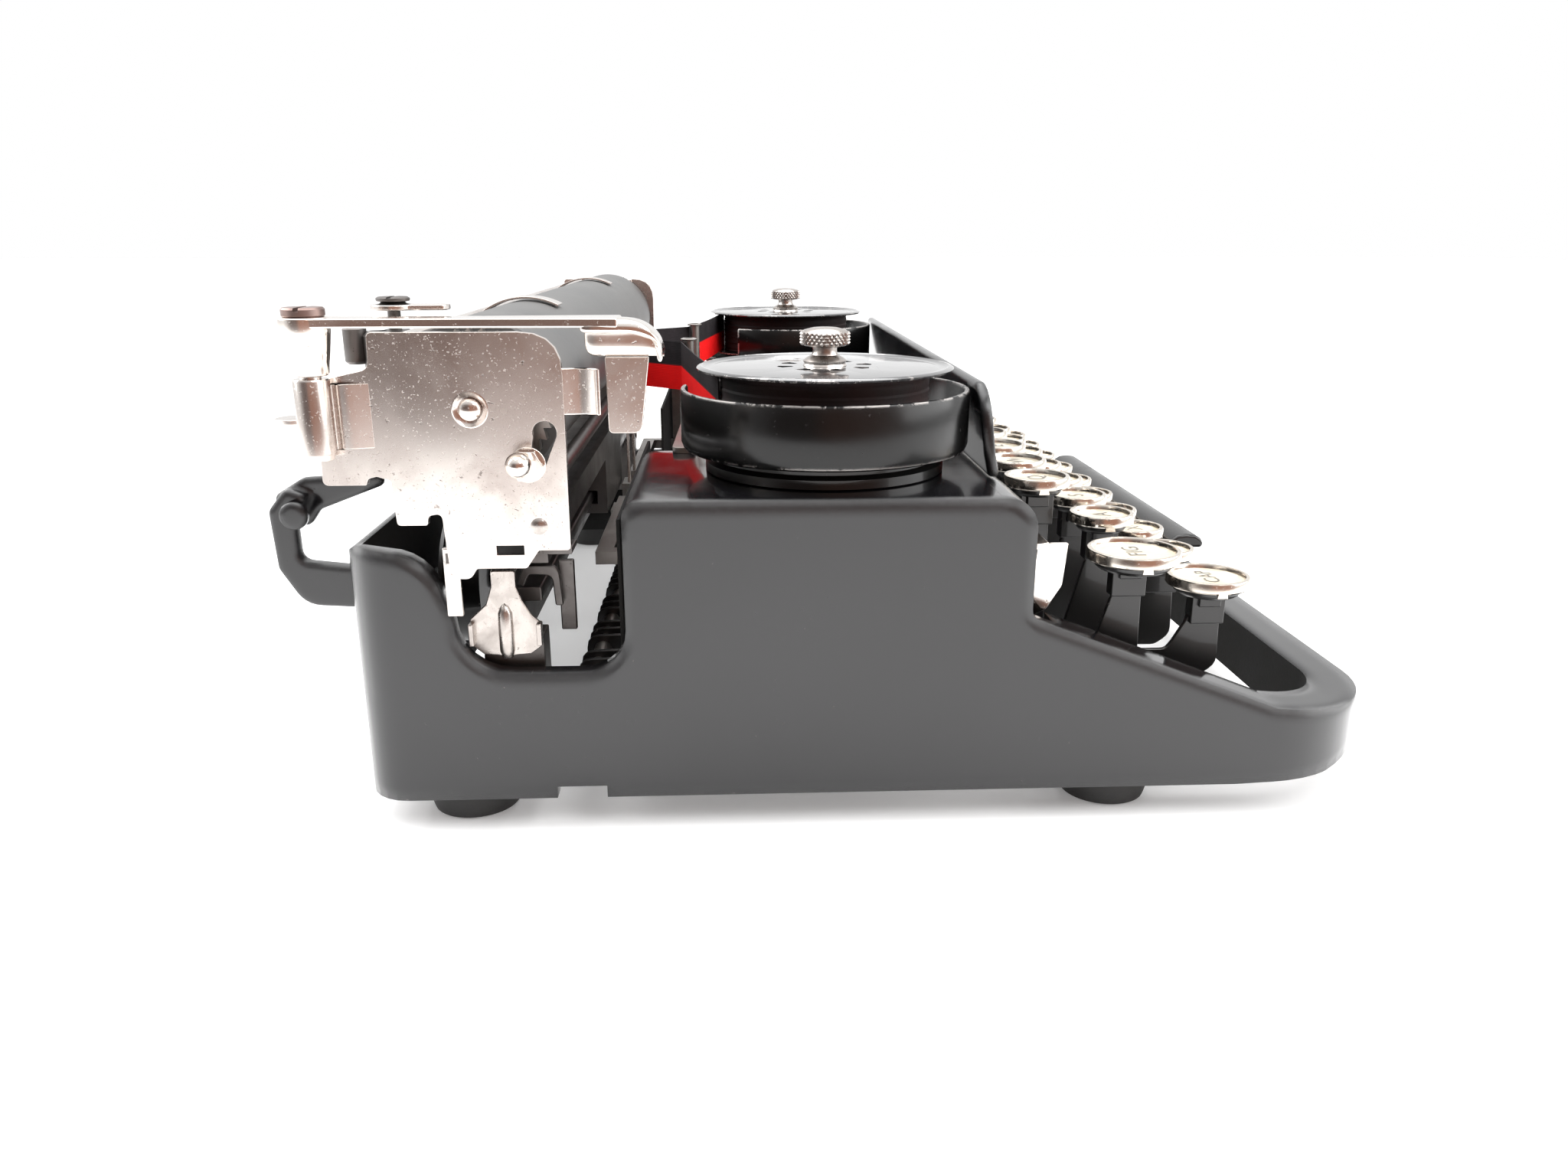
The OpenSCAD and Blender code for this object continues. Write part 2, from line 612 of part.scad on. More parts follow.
// Round-ended tab that sets the line spacing
module spacing_tab() color([0.7, 0.68, 0.66]) {
    difference() {
        union() {
            translate([release_x, tab_y + 12.5, tab_z]) cylinder(h = 1, r = 3.6);
            box([release_x - 1.6, tab_y, tab_z], [release_x + 1.6, tab_y + 12, tab_z + 1]);
            translate([release_x, tab_y, tab_z]) cylinder(h = 1, r = 2.4);
        }
        translate([release_x, tab_y, tab_z - 1]) cylinder(h = 4, r = 1 + run);
    }
}

// ---- escapement and spring --------------------------------------------------

module escapement_wheel() color([0.6, 0.58, 0.5]) {
    r_pitch = tooth_m * tooth_n / 2;
    step = 360 / tooth_n;
    difference() {
        union() {
            translate([0, rack_y + rack_w, pinion_z]) rotate([90, 0, 0]) linear_extrude(rack_w)
                polygon([for (i = [0:tooth_n - 1], k = [[-0.26, -0.95], [-0.13, 0.55], [0.13, 0.55], [0.26, -0.95]])
                    (r_pitch + k[1]) * [cos(90 + step * (i + k[0])), sin(90 + step * (i + k[0]))]]);
            translate([0, wheel_y + 1.5, pinion_z]) rotate([90, 0, 0]) linear_extrude(1.5)
                polygon([for (i = [0:29]) (i % 2 == 0 ? 9 : 11.5) * [cos(12 * i), sin(12 * i)]]);
            rod_y(rack_y, wheel_y + 1, 0, pinion_z, 3.2);
        }
        rod_y(rack_y - 1, wheel_y + 3, 0, pinion_z, 1.5 + run);
    }
}

module spring_drum() color([0.55, 0.5, 0.35]) difference() {
    union() {
        rod_y(wheel_y + 1, wheel_y + 9, drum_x, drum_z, drum_r);
        rod_y(wheel_y + 9, wheel_y + 9.8, drum_x, drum_z, drum_r + 1);
    }
    rod_y(wheel_y - 1, wheel_y + 12, drum_x, drum_z, 2.5 + run);
}

// ---- keyboard ---------------------------------------------------------------

// Rod that every key lever turns on
module key_rod() color([0.5, 0.5, 0.5])
    rod_x(-x_max + wall, x_max - wall, key_rod_y, key_rod_z, key_rod_d / 2);

// Lever in the plane x = px, with its stem up to a key at c and ring diameter d
module lever(px, c, d) {
    low = key_rod_z - lever_h / 2 - 1;
    difference() {
        side(px - lever_t / 2, px + lever_t / 2) union() {
            polygon([[key_rod_y, key_rod_z - 4], [key_rod_y, key_rod_z + 4],
                     [key_rod_y - 20, low + lever_h], [c[1], low + lever_h],
                     [c[1] - stem_w / 2, low + lever_h - 2], [c[1] - stem_w / 2, low + 2],
                     [c[1] - stem_w / 2 + 2, low], [key_rod_y - 20, low]]);
            translate([key_rod_y, key_rod_z]) circle(r = 4);
            translate([c[1] - stem_w / 2, low + 1]) square([stem_w * 0.7, c[2] - ring_h - low - 4]);
        }
        rod_x(px - 3, px + 3, key_rod_y, key_rod_z, key_rod_d / 2 + run);
    }
    box([px - stem_t / 2, c[1] - stem_w / 2, c[2] - ring_h - 8.6],
        [px + stem_t / 2, c[1] + stem_w / 2, c[2] - ring_h - 1.6]);
    translate([c[0], c[1], c[2] - ring_h - 1.8]) cylinder(h = 2, r = d / 2 - 1.6);
}

module key(px, c, d) {
    color([0.09, 0.09, 0.09]) lever(px, c, d);
    color([0.85, 0.82, 0.76]) translate([c[0], c[1], c[2] - ring_h]) cylinder(h = ring_h, r = d / 2);
}

module character_key(i) {
    row = floor(i / 10);
    x = first_x + (i % 10) * key_pitch + row * quarter;
    key(x, [x, row_y[row], row_z[row]], key_d);
}

module shift_key(i) key(shift_plane[i], shift_pos[i], shift_d[i]);

module space_bar() {
    color([0.08, 0.08, 0.08]) {
        side(-space_l / 2, space_l / 2) polygon(concat(
            [[space_y - 4.5, space_z], [space_y + 4.5, space_z]],
            arc([space_y, space_z - 1.6], 5, 26, 154, 8)));
    }
    for (k = [-2, 2]) {
        px = first_x + (4 + k) * key_pitch + 3 * quarter;
        low = key_rod_z - lever_h / 2 - 1;
        color([0.09, 0.09, 0.09]) difference() {
            side(px - lever_t / 2, px + lever_t / 2) union() {
                polygon([[key_rod_y, key_rod_z - 4], [key_rod_y, key_rod_z + 4],
                         [key_rod_y - 20, low + lever_h], [space_y + 4, low + lever_h],
                         [space_y + 3, space_z + 1], [space_y - 3, space_z + 1],
                         [space_y - 3, low + 2], [space_y - 1, low], [key_rod_y - 20, low]]);
                translate([key_rod_y, key_rod_z]) circle(r = 4);
            }
            rod_x(px - 3, px + 3, key_rod_y, key_rod_z, key_rod_d / 2 + run);
        }
    }
}

// Curved tab by the ledge that holds the shift down
module shift_lock() color([0.78, 0.75, 0.72]) {
    px = -x_max + loop_w + 2;
    y = ledge_front_y;
    side(px - 0.6, px + 0.6) polygon([
        [y + 6, 38], [y + 6, 44], [y - 3, 48], [y - 3.4, 56], [y - 10, 56],
        [y - 9, 47], [y - 6, 42], [y + 2, 38]]);
    side(px - 4, px + 4) polygon(concat(
        arc([y - 2, 66], 10.4, 252, 300, 5), arc([y - 2, 66], 9, 300, 252, 5)));
}

// ---- assembly -----------------------------------------------------------------

place() body_frame();
place() front_panel();
place() ribbon_cups();
place() spool_posts();
place() type_basket();
place() key_rod();
place() carriage_rail();
place() rear_bracket();
place() feet();
place() ribbon_strands();
place() carriage_bed();
place() left_end_plate();
place() right_end_plate();
place() paper_table();
place() platen();
place() platen_axle();
place() feed_roller();
place() return_lever();
place() paper_release();
place() paper_fingers();
place() spacing_tab();
place() left_spool();
place() right_spool();
place() ribbon_vibrator();
place() type_bar();
place() escapement_wheel();
place() spring_drum();
place() shift_lock();
place() shift_key(0);  // shift_key_upper
place() shift_key(1);  // shift_key_lower
place() space_bar();
for (i = [0:len(KEY_NAMES) - 1])
    place() character_key(i);
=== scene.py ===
"""Looks of a small three-bank portable typewriter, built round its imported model.

Lengths in the builders below are millimetres in the machine's own frame: x from the
middle of the cast body, y from the middle of its depth to the rear, z from the table.
"""
import math

import bmesh
import bpy
from mathutils import Matrix, Vector

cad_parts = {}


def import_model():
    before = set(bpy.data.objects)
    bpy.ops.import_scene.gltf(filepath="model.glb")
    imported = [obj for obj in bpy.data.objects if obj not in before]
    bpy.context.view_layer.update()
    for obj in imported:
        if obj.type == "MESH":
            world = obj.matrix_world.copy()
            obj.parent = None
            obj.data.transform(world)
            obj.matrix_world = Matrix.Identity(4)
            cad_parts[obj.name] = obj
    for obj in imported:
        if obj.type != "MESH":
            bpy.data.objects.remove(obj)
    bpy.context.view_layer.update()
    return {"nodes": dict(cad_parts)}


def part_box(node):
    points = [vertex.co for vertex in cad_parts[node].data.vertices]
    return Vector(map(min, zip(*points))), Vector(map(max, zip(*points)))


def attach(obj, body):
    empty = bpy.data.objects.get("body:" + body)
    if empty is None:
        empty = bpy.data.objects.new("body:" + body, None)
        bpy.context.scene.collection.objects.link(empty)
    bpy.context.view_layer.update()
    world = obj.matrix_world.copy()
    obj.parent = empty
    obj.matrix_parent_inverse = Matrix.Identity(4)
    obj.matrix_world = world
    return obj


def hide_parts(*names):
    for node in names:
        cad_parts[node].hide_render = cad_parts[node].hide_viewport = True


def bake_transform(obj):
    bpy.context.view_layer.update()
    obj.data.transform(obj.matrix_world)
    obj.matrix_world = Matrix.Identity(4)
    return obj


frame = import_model()

MM = 0.001
body_lo, body_hi = (Vector(corner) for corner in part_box("body_frame"))
MIDDLE = Vector(((body_lo.x + body_hi.x) / 2, (body_lo.y + body_hi.y) / 2, 0))


def local(node):
    """Lowest and highest corners of a CAD node, in the builders' millimetres."""
    low, high = (Vector(corner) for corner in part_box(node))
    return (low - MIDDLE) / MM, (high - MIDDLE) / MM


def world(point):
    """A point in the builders' millimetres, as a place in the scene."""
    return MIDDLE + Vector(point) * MM


# ---- sizes that several pieces share ------------------------------------

BODY_LO, BODY_HI = local("body_frame")
BASE_Z = BODY_LO.z
LEDGE_Z = BODY_HI.z
REAR_Y = BODY_HI.y
NOSE_Y = BODY_LO.y
X_MAX = BODY_HI.x
PLATEN_LO, PLATEN_HI = local("platen")
PLATEN_Y = (PLATEN_LO.y + PLATEN_HI.y) / 2
PLATEN_Z = (PLATEN_LO.z + PLATEN_HI.z) / 2
PLATEN_R = (PLATEN_HI.z - PLATEN_LO.z) / 2
PLATE_X = local("carriage_bed")[1].x
PLATE_OUT = PLATE_X + 1.6
LEVER_LO, LEVER_HI = local("return_lever")
LEVER_X = LEVER_LO.x + 4.3
LEVER_Y = LEVER_HI.y - 4.3
LEVER_Z = LEVER_HI.z - 3.6
SPOOL_LO, SPOOL_HI = local("left_spool")
SPOOL_X = (SPOOL_LO.x + SPOOL_HI.x) / 2
SPOOL_Y = (SPOOL_LO.y + SPOOL_HI.y) / 2
SPOOL_R = (SPOOL_HI.x - SPOOL_LO.x) / 2
PACK_R = 22
CUP_R = 30.5
RIBBON_W = 12.6
RIBBON_T = 0.3
RIBBON_MIDDLE_Z = local("ribbon_strands")[1].z - 1 - RIBBON_W / 2 + 0.1
WELL_Y = 52.3
LEDGE_FRONT_Y = NOSE_Y + 78.7
GUIDE_X = 26
GUIDE_POST_Y = WELL_Y - 10
RIBBON_TURN_Y = WELL_Y - 8
LEVER_SHEET = 1.2
SPACE_ARM_X = (-39.05, 40.15)
RAIL_END_X = X_MAX - 12
RAIL_Z = 45
RAIL_TOP_Z = 48
KEY_ROD_LO, KEY_ROD_HI = local("key_rod")
ROD_Y = (KEY_ROD_LO.y + KEY_ROD_HI.y) / 2
ROD_Z = (KEY_ROD_LO.z + KEY_ROD_HI.z) / 2
RING_H = 2.4
FINGER_A = 50
FINGER_Y = PLATEN_Y + (PLATEN_R + 1.2) * math.cos(math.radians(FINGER_A))
FINGER_Z = PLATEN_Z + (PLATEN_R + 1.2) * math.sin(math.radians(FINGER_A))


# ---- shader groups ----------------------------------------------------------

def new_group(name, inputs, outputs):
    """A shader node group with named float or colour sockets."""
    group = bpy.data.node_groups.new(name, "ShaderNodeTree")
    for label, kind, value in inputs:
        socket = group.interface.new_socket(label, in_out="INPUT", socket_type=kind)
        socket.default_value = value
    for label, kind in outputs:
        group.interface.new_socket(label, in_out="OUTPUT", socket_type=kind)
    return group, group.nodes.new("NodeGroupInput"), group.nodes.new("NodeGroupOutput")


def math_node(tree, operation, a, b=None, clamp=False):
    """One Math node; a and b are numbers or sockets."""
    node = tree.nodes.new("ShaderNodeMath")
    node.operation = operation
    node.use_clamp = clamp
    for i, value in enumerate((a, b)):
        if value is None:
            continue
        if isinstance(value, (int, float)):
            node.inputs[i].default_value = value
        else:
            tree.links.new(value, node.inputs[i])
    return node.outputs[0]


def noise_node(tree, vector, scale, detail=3.0, roughness=0.55, distortion=0.0):
    """Noise over a vector, as a value."""
    node = tree.nodes.new("ShaderNodeTexNoise")
    for label, value in (("Scale", scale), ("Detail", detail), ("Roughness", roughness),
                         ("Distortion", distortion)):
        if isinstance(value, (int, float)):
            node.inputs[label].default_value = value
        else:
            tree.links.new(value, node.inputs[label])
    tree.links.new(vector, node.inputs["Vector"])
    return node.outputs["Fac"]


def map_range(tree, value, low, high, out_low=0.0, out_high=1.0):
    """A value moved from one range to another, clamped."""
    node = tree.nodes.new("ShaderNodeMapRange")
    for label, number in (("From Min", low), ("From Max", high),
                          ("To Min", out_low), ("To Max", out_high)):
        if isinstance(number, (int, float)):
            node.inputs[label].default_value = number
        else:
            tree.links.new(number, node.inputs[label])
    tree.links.new(value, node.inputs["Value"])
    return node.outputs["Result"]


def mix_colour(tree, factor, a, b):
    """Mix of two colours, each a colour or a socket."""
    node = tree.nodes.new("ShaderNodeMix")
    node.data_type = "RGBA"
    for socket, value in ((node.inputs[0], factor), (node.inputs[6], a), (node.inputs[7], b)):
        if isinstance(value, (int, float)):
            socket.default_value = value
        elif isinstance(value, (tuple, list)):
            socket.default_value = (*value[:3], 1)
        else:
            tree.links.new(value, socket)
    return node.outputs[2]


def build_edge_wear():
    """Mask of edges worn bare: narrow, broken up by noise, wider where Amount is high."""
    group, inp, out = new_group(
        "edge_wear",
        [("Radius", "NodeSocketFloat", 0.0008), ("Amount", "NodeSocketFloat", 0.5),
         ("Scale", "NodeSocketFloat", 90.0)],
        [("Mask", "NodeSocketFloat")])
    bevel = group.nodes.new("ShaderNodeBevel")
    bevel.samples = 4
    group.links.new(inp.outputs["Radius"], bevel.inputs["Radius"])
    geometry = group.nodes.new("ShaderNodeNewGeometry")
    dot = group.nodes.new("ShaderNodeVectorMath")
    dot.operation = "DOT_PRODUCT"
    group.links.new(bevel.outputs[0], dot.inputs[0])
    group.links.new(geometry.outputs["Normal"], dot.inputs[1])
    bend = math_node(group, "SUBTRACT", 1.0, dot.outputs["Value"])
    coords = group.nodes.new("ShaderNodeTexCoord")
    patches = noise_node(group, coords.outputs["Object"], inp.outputs["Scale"], 6.0, 0.7)
    threshold = math_node(group, "SUBTRACT", 0.78, math_node(
        group, "MULTIPLY", inp.outputs["Amount"], 0.4))
    broken = map_range(group, patches, threshold, math_node(group, "ADD", threshold, 0.03))
    edge = map_range(group, bend, 0.012, 0.06)
    group.links.new(math_node(group, "MULTIPLY", edge, broken, True), out.inputs["Mask"])
    return group


def build_scratches():
    """Thin scratches in two directions, as a mask and as a height."""
    group, inp, out = new_group(
        "scratches",
        [("Scale", "NodeSocketFloat", 40.0), ("Density", "NodeSocketFloat", 0.5)],
        [("Mask", "NodeSocketFloat")])
    coords = group.nodes.new("ShaderNodeTexCoord")
    parts = []
    for turn, stretch in ((0.5, 26.0), (-1.1, 34.0)):
        mapping = group.nodes.new("ShaderNodeMapping")
        mapping.inputs["Rotation"].default_value = (turn, turn * 0.7, 0.3 + turn)
        mapping.inputs["Scale"].default_value = (1.0, stretch, stretch)
        group.links.new(coords.outputs["Object"], mapping.inputs["Vector"])
        lines = noise_node(group, mapping.outputs[0], inp.outputs["Scale"], 2.0, 0.5, 0.4)
        limit = math_node(group, "SUBTRACT", 0.78, math_node(
            group, "MULTIPLY", inp.outputs["Density"], 0.12))
        parts.append(map_range(group, lines, limit, math_node(group, "ADD", limit, 0.02)))
    group.links.new(math_node(group, "MAXIMUM", parts[0], parts[1], True), out.inputs["Mask"])
    return group


def build_grime():
    """Soft cloudy variation, for smears, tarnish and dust."""
    group, inp, out = new_group(
        "grime",
        [("Scale", "NodeSocketFloat", 30.0), ("Low", "NodeSocketFloat", 0.4),
         ("High", "NodeSocketFloat", 0.7)],
        [("Mask", "NodeSocketFloat")])
    coords = group.nodes.new("ShaderNodeTexCoord")
    cloud = noise_node(group, coords.outputs["Object"], inp.outputs["Scale"], 5.0, 0.6, 0.3)
    group.links.new(map_range(group, cloud, inp.outputs["Low"], inp.outputs["High"]),
                    out.inputs["Mask"])
    return group


EDGE_WEAR = build_edge_wear()
SCRATCHES = build_scratches()
GRIME = build_grime()


# ---- materials -----------------------------------------------------------------

def new_material(name):
    """A material, its node tree and its Principled shader."""
    material = bpy.data.materials.new(name)
    material.use_nodes = True
    tree = material.node_tree
    return material, tree, tree.nodes["Principled BSDF"]


def use_group(tree, group, output="Mask", **values):
    """Puts a shader group in a tree with its inputs set, and gives one of its outputs."""
    node = tree.nodes.new("ShaderNodeGroup")
    node.node_tree = group
    for label, value in values.items():
        node.inputs[label].default_value = value
    return node.outputs[output]


def build_soft_edges():
    """Normal that rolls over the edges of a casting, as thick enamel does."""
    group, inp, out = new_group(
        "soft_edges", [("Radius", "NodeSocketFloat", 0.003)], [("Normal", "NodeSocketVector")])
    bevel = group.nodes.new("ShaderNodeBevel")
    bevel.samples = 6
    group.links.new(inp.outputs["Radius"], bevel.inputs["Radius"])
    group.links.new(bevel.outputs[0], out.inputs["Normal"])
    return group


SOFT_EDGES = build_soft_edges()


def add_bump(tree, shader, height, strength, distance, normal=None):
    """Feeds a height through a Bump node into the shader's Normal."""
    bump = tree.nodes.new("ShaderNodeBump")
    if normal is not None:
        tree.links.new(normal, bump.inputs["Normal"])
    bump.inputs["Strength"].default_value = strength
    bump.inputs["Distance"].default_value = distance
    tree.links.new(height, bump.inputs["Height"])
    tree.links.new(bump.outputs[0], shader.inputs["Normal"])


def enamel(name, wear, bare=(0.52, 0.49, 0.47), tint=(0.006, 0.006, 0.007), rough=0.1,
           soft=0.0, coat=0.35, specular=0.55):
    """Stoved black enamel, chipped to bare metal along its edges."""
    material, tree, shader = new_material(name)
    chips = use_group(tree, EDGE_WEAR, Radius=0.0009, Amount=wear, Scale=210.0)
    lines = use_group(tree, SCRATCHES, Scale=34.0, Density=0.35)
    smears = use_group(tree, GRIME, Scale=26.0, Low=0.42, High=0.72)
    specks = use_group(tree, GRIME, Scale=900.0, Low=0.735, High=0.75)
    colour = mix_colour(tree, math_node(tree, "MULTIPLY", smears, 0.35), tint,
                        tuple(c * 2.2 + 0.003 for c in tint))
    colour = mix_colour(tree, math_node(tree, "MULTIPLY", specks, 0.5), colour, (0.22, 0.2, 0.19))
    colour = mix_colour(tree, math_node(tree, "MULTIPLY", lines, 0.1), colour, (0.12, 0.11, 0.11))
    colour = mix_colour(tree, chips, colour, bare)
    tree.links.new(colour, shader.inputs["Base Color"])
    roughness = map_range(tree, smears, 0.0, 1.0, rough, rough + 0.12)
    roughness = math_node(tree, "ADD", roughness, math_node(tree, "MULTIPLY", lines, 0.12))
    roughness = math_node(tree, "ADD", roughness, math_node(tree, "MULTIPLY", chips, 0.2))
    tree.links.new(roughness, shader.inputs["Roughness"])
    tree.links.new(math_node(tree, "MULTIPLY", chips, 0.9), shader.inputs["Metallic"])
    height = math_node(tree, "ADD", math_node(tree, "MULTIPLY", chips, -0.6),
                       math_node(tree, "MULTIPLY", smears, 0.12))
    ripple = use_group(tree, GRIME, Scale=9.0, Low=0.2, High=0.8)
    height = math_node(tree, "ADD", height, math_node(tree, "MULTIPLY", ripple, 5.0))
    normal = None
    if soft > 0:
        normal = use_group(tree, SOFT_EDGES, "Normal", Radius=soft)
        tree.links.new(normal, shader.inputs["Coat Normal"])
    add_bump(tree, shader, height, 0.35, 0.0001, normal)
    shader.inputs["Specular IOR Level"].default_value = specular
    shader.inputs["Coat Roughness"].default_value = 0.04
    shader.inputs["Coat Weight"].default_value = coat
    return material


def metal(name, colour, dark, rough, tarnish=0.5, lines=0.5, scale=45.0):
    """Plated or bare metal with tarnish clouds, pits and fine scratches."""
    material, tree, shader = new_material(name)
    clouds = use_group(tree, GRIME, Scale=scale, Low=0.42, High=0.75)
    pits = use_group(tree, GRIME, Scale=700.0, Low=0.66, High=0.7)
    fine = use_group(tree, SCRATCHES, Scale=60.0, Density=lines)
    base = mix_colour(tree, math_node(tree, "MULTIPLY", clouds, tarnish), colour, dark)
    base = mix_colour(tree, math_node(tree, "MULTIPLY", pits, 0.6), base,
                      tuple(c * 0.35 for c in dark))
    tree.links.new(base, shader.inputs["Base Color"])
    roughness = map_range(tree, clouds, 0.0, 1.0, rough, rough + 0.16)
    roughness = math_node(tree, "ADD", roughness, math_node(tree, "MULTIPLY", fine, 0.14))
    tree.links.new(roughness, shader.inputs["Roughness"])
    shader.inputs["Metallic"].default_value = 1.0
    height = math_node(tree, "ADD", math_node(tree, "MULTIPLY", fine, -0.5),
                       math_node(tree, "MULTIPLY", pits, -0.8))
    add_bump(tree, shader, height, 0.25, 0.00006)
    return material


def plain(name, colour, second, rough, scale, bump, specular=0.5):
    """Non-metal with a cloudy second colour and a fine surface grain."""
    material, tree, shader = new_material(name)
    clouds = use_group(tree, GRIME, Scale=scale, Low=0.35, High=0.7)
    grain = use_group(tree, GRIME, Scale=1400.0, Low=0.3, High=0.7)
    base = mix_colour(tree, clouds, colour, second)
    tree.links.new(base, shader.inputs["Base Color"])
    tree.links.new(map_range(tree, clouds, 0.0, 1.0, rough, min(1.0, rough + 0.15)),
                   shader.inputs["Roughness"])
    add_bump(tree, shader, grain, bump, 0.0001)
    shader.inputs["Specular IOR Level"].default_value = specular
    return material


def ribbon_material():
    """Inked cotton ribbon: black over red, with the weave of the cloth."""
    material, tree, shader = new_material("inked_ribbon")
    coords = tree.nodes.new("ShaderNodeTexCoord")
    split = tree.nodes.new("ShaderNodeSeparateXYZ")
    tree.links.new(coords.outputs["Object"], split.inputs[0])
    middle = RIBBON_MIDDLE_Z * MM
    half = map_range(tree, split.outputs["Z"], middle - 0.0002, middle + 0.0002)
    wave = tree.nodes.new("ShaderNodeTexWave")
    wave.inputs["Scale"].default_value = 700.0
    wave.bands_direction = "Z"
    tree.links.new(coords.outputs["Object"], wave.inputs["Vector"])
    clouds = use_group(tree, GRIME, Scale=120.0, Low=0.3, High=0.75)
    red = mix_colour(tree, clouds, (0.95, 0.008, 0.008), (0.8, 0.006, 0.008))
    black = mix_colour(tree, clouds, (0.012, 0.011, 0.012), (0.03, 0.025, 0.028))
    tree.links.new(mix_colour(tree, half, red, black), shader.inputs["Base Color"])
    shader.inputs["Roughness"].default_value = 0.75
    shader.inputs["Specular IOR Level"].default_value = 0.15
    add_bump(tree, shader, wave.outputs["Fac"], 0.3, 0.0001)
    return material


BLACK = enamel("black_enamel", 0.3, soft=0.0045)
BLACK_PANEL = enamel("black_enamel_panel", 0.25, rough=0.16, soft=0.002)
BLACK_INSIDE = plain("unpolished_black", (0.010, 0.010, 0.010), (0.018, 0.017, 0.016), 0.7, 50.0, 0.2, 0.15)
BLACK_CUP = enamel("black_enamel_cup", 0.8, tint=(0.003, 0.003, 0.003), rough=0.2, coat=0.0, specular=0.4)
BLACK_LEVER = enamel("black_lever_japan", 0.3, tint=(0.009, 0.009, 0.009), rough=0.3)
NICKEL = metal("nickel_plate", (0.74, 0.69, 0.65), (0.42, 0.35, 0.32), 0.17, 0.75, 0.85)
NICKEL_BRIGHT = metal("nickel_bright", (0.86, 0.81, 0.76), (0.66, 0.58, 0.52), 0.1, 0.45, 0.5)
KEY_NICKEL = metal("key_ring_nickel", (0.84, 0.78, 0.70), (0.55, 0.47, 0.38), 0.14, 0.5, 0.6, 120.0)
STEEL = metal("machine_steel", (0.42, 0.40, 0.38), (0.22, 0.2, 0.18), 0.32, 0.7, 0.6, 70.0)
DARK_STEEL = metal("oiled_steel", (0.16, 0.15, 0.145), (0.07, 0.06, 0.055), 0.38, 0.7, 0.5, 70.0)
BRONZE = metal("browned_screw", (0.28, 0.2, 0.18), (0.12, 0.09, 0.08), 0.3, 0.6, 0.5, 90.0)
RUBBER = plain("platen_rubber", (0.06, 0.06, 0.06), (0.12, 0.118, 0.115), 0.38, 40.0, 0.15)
FOOT_RUBBER = plain("foot_rubber", (0.012, 0.012, 0.012), (0.03, 0.029, 0.028), 0.55, 80.0, 0.3)
CARD = plain("key_card", (0.66, 0.59, 0.46), (0.56, 0.48, 0.33), 0.35, 140.0, 0.05)
CARD.node_tree.nodes["Principled BSDF"].inputs["Coat Weight"].default_value = 1.0
CARD.node_tree.nodes["Principled BSDF"].inputs["Coat Roughness"].default_value = 0.03
INK = plain("card_ink", (0.10, 0.09, 0.08), (0.2, 0.18, 0.15), 0.4, 400.0, 0.02)
RIBBON = ribbon_material()
# upper spool flanges: glossy japan with its tint lifted to 0.03, partly painted sheen standing in for the
# reflection on the flange tops
SPOOL_BLACK_SHEEN = enamel("spool_japan_painted_sheen", 0.6, tint=(0.03, 0.03, 0.032), rough=0.12, coat=1.0, specular=1.0)
SPACE_BLACK = plain("black_moulding", (0.008, 0.008, 0.008), (0.016, 0.015, 0.015), 0.16, 60.0, 0.05)
NICKEL_DARK = metal("worn_nickel", (0.52, 0.48, 0.45), (0.26, 0.23, 0.21), 0.24, 0.6, 0.6, 160.0)
WOUND = plain("wound_ribbon", (0.010, 0.009, 0.010), (0.03, 0.012, 0.012), 0.7, 60.0, 0.25)


# ---- mesh tools --------------------------------------------------------------

def rounded(points, steps=5):
    """Outline from (a, b, radius) corners: each corner becomes an arc of its radius."""
    result = []
    count = len(points)
    for i, (a, b, radius) in enumerate(points):
        corner = Vector((a, b))
        if radius <= 0:
            result.append((a, b))
            continue
        before = (Vector(points[i - 1][:2]) - corner)
        after = (Vector(points[(i + 1) % count][:2]) - corner)
        angle = before.angle(after)
        reach = radius / math.tan(angle / 2)
        reach = min(reach, before.length * 0.49, after.length * 0.49)
        start = corner + before.normalized() * reach
        end = corner + after.normalized() * reach
        for k in range(steps + 1):
            t = k / steps
            point = start.lerp(corner, t).lerp(corner.lerp(end, t), t)
            result.append((point.x, point.y))
    return result


def ring_points(ca, cb, radius, start=0, end=360, steps=24):
    """Points on an arc about (ca, cb), or on a whole ring."""
    span = end - start
    count = steps if abs(span) >= 360 else steps + 1
    return [(ca + radius * math.cos(math.radians(start + span * i / steps)),
             cb + radius * math.sin(math.radians(start + span * i / steps)))
            for i in range(count)]


# where an outline's two numbers and its height go, for each axis
AXES = {"x": lambda a, b, h: (h, a, b),
        "y": lambda a, b, h: (a, h, b),
        "z": lambda a, b, h: (a, b, h)}


def prism(mesh, outline, low, high, axis="x", slot=0):
    """Extrudes an outline from low to high along an axis."""
    place_point = AXES[axis]
    bottom = [mesh.verts.new(place_point(a, b, low)) for a, b in outline]
    top = [mesh.verts.new(place_point(a, b, high)) for a, b in outline]
    faces = [mesh.faces.new(bottom[::-1]), mesh.faces.new(top)]
    count = len(outline)
    for i in range(count):
        j = (i + 1) % count
        faces.append(mesh.faces.new((bottom[i], bottom[j], top[j], top[i])))
    for face in faces:
        face.material_index = slot
    return faces


def block(mesh, low, high, slot=0):
    """A box between two corners."""
    return prism(mesh, [(low[0], low[1]), (high[0], low[1]), (high[0], high[1]), (low[0], high[1])],
                 low[2], high[2], "z", slot)


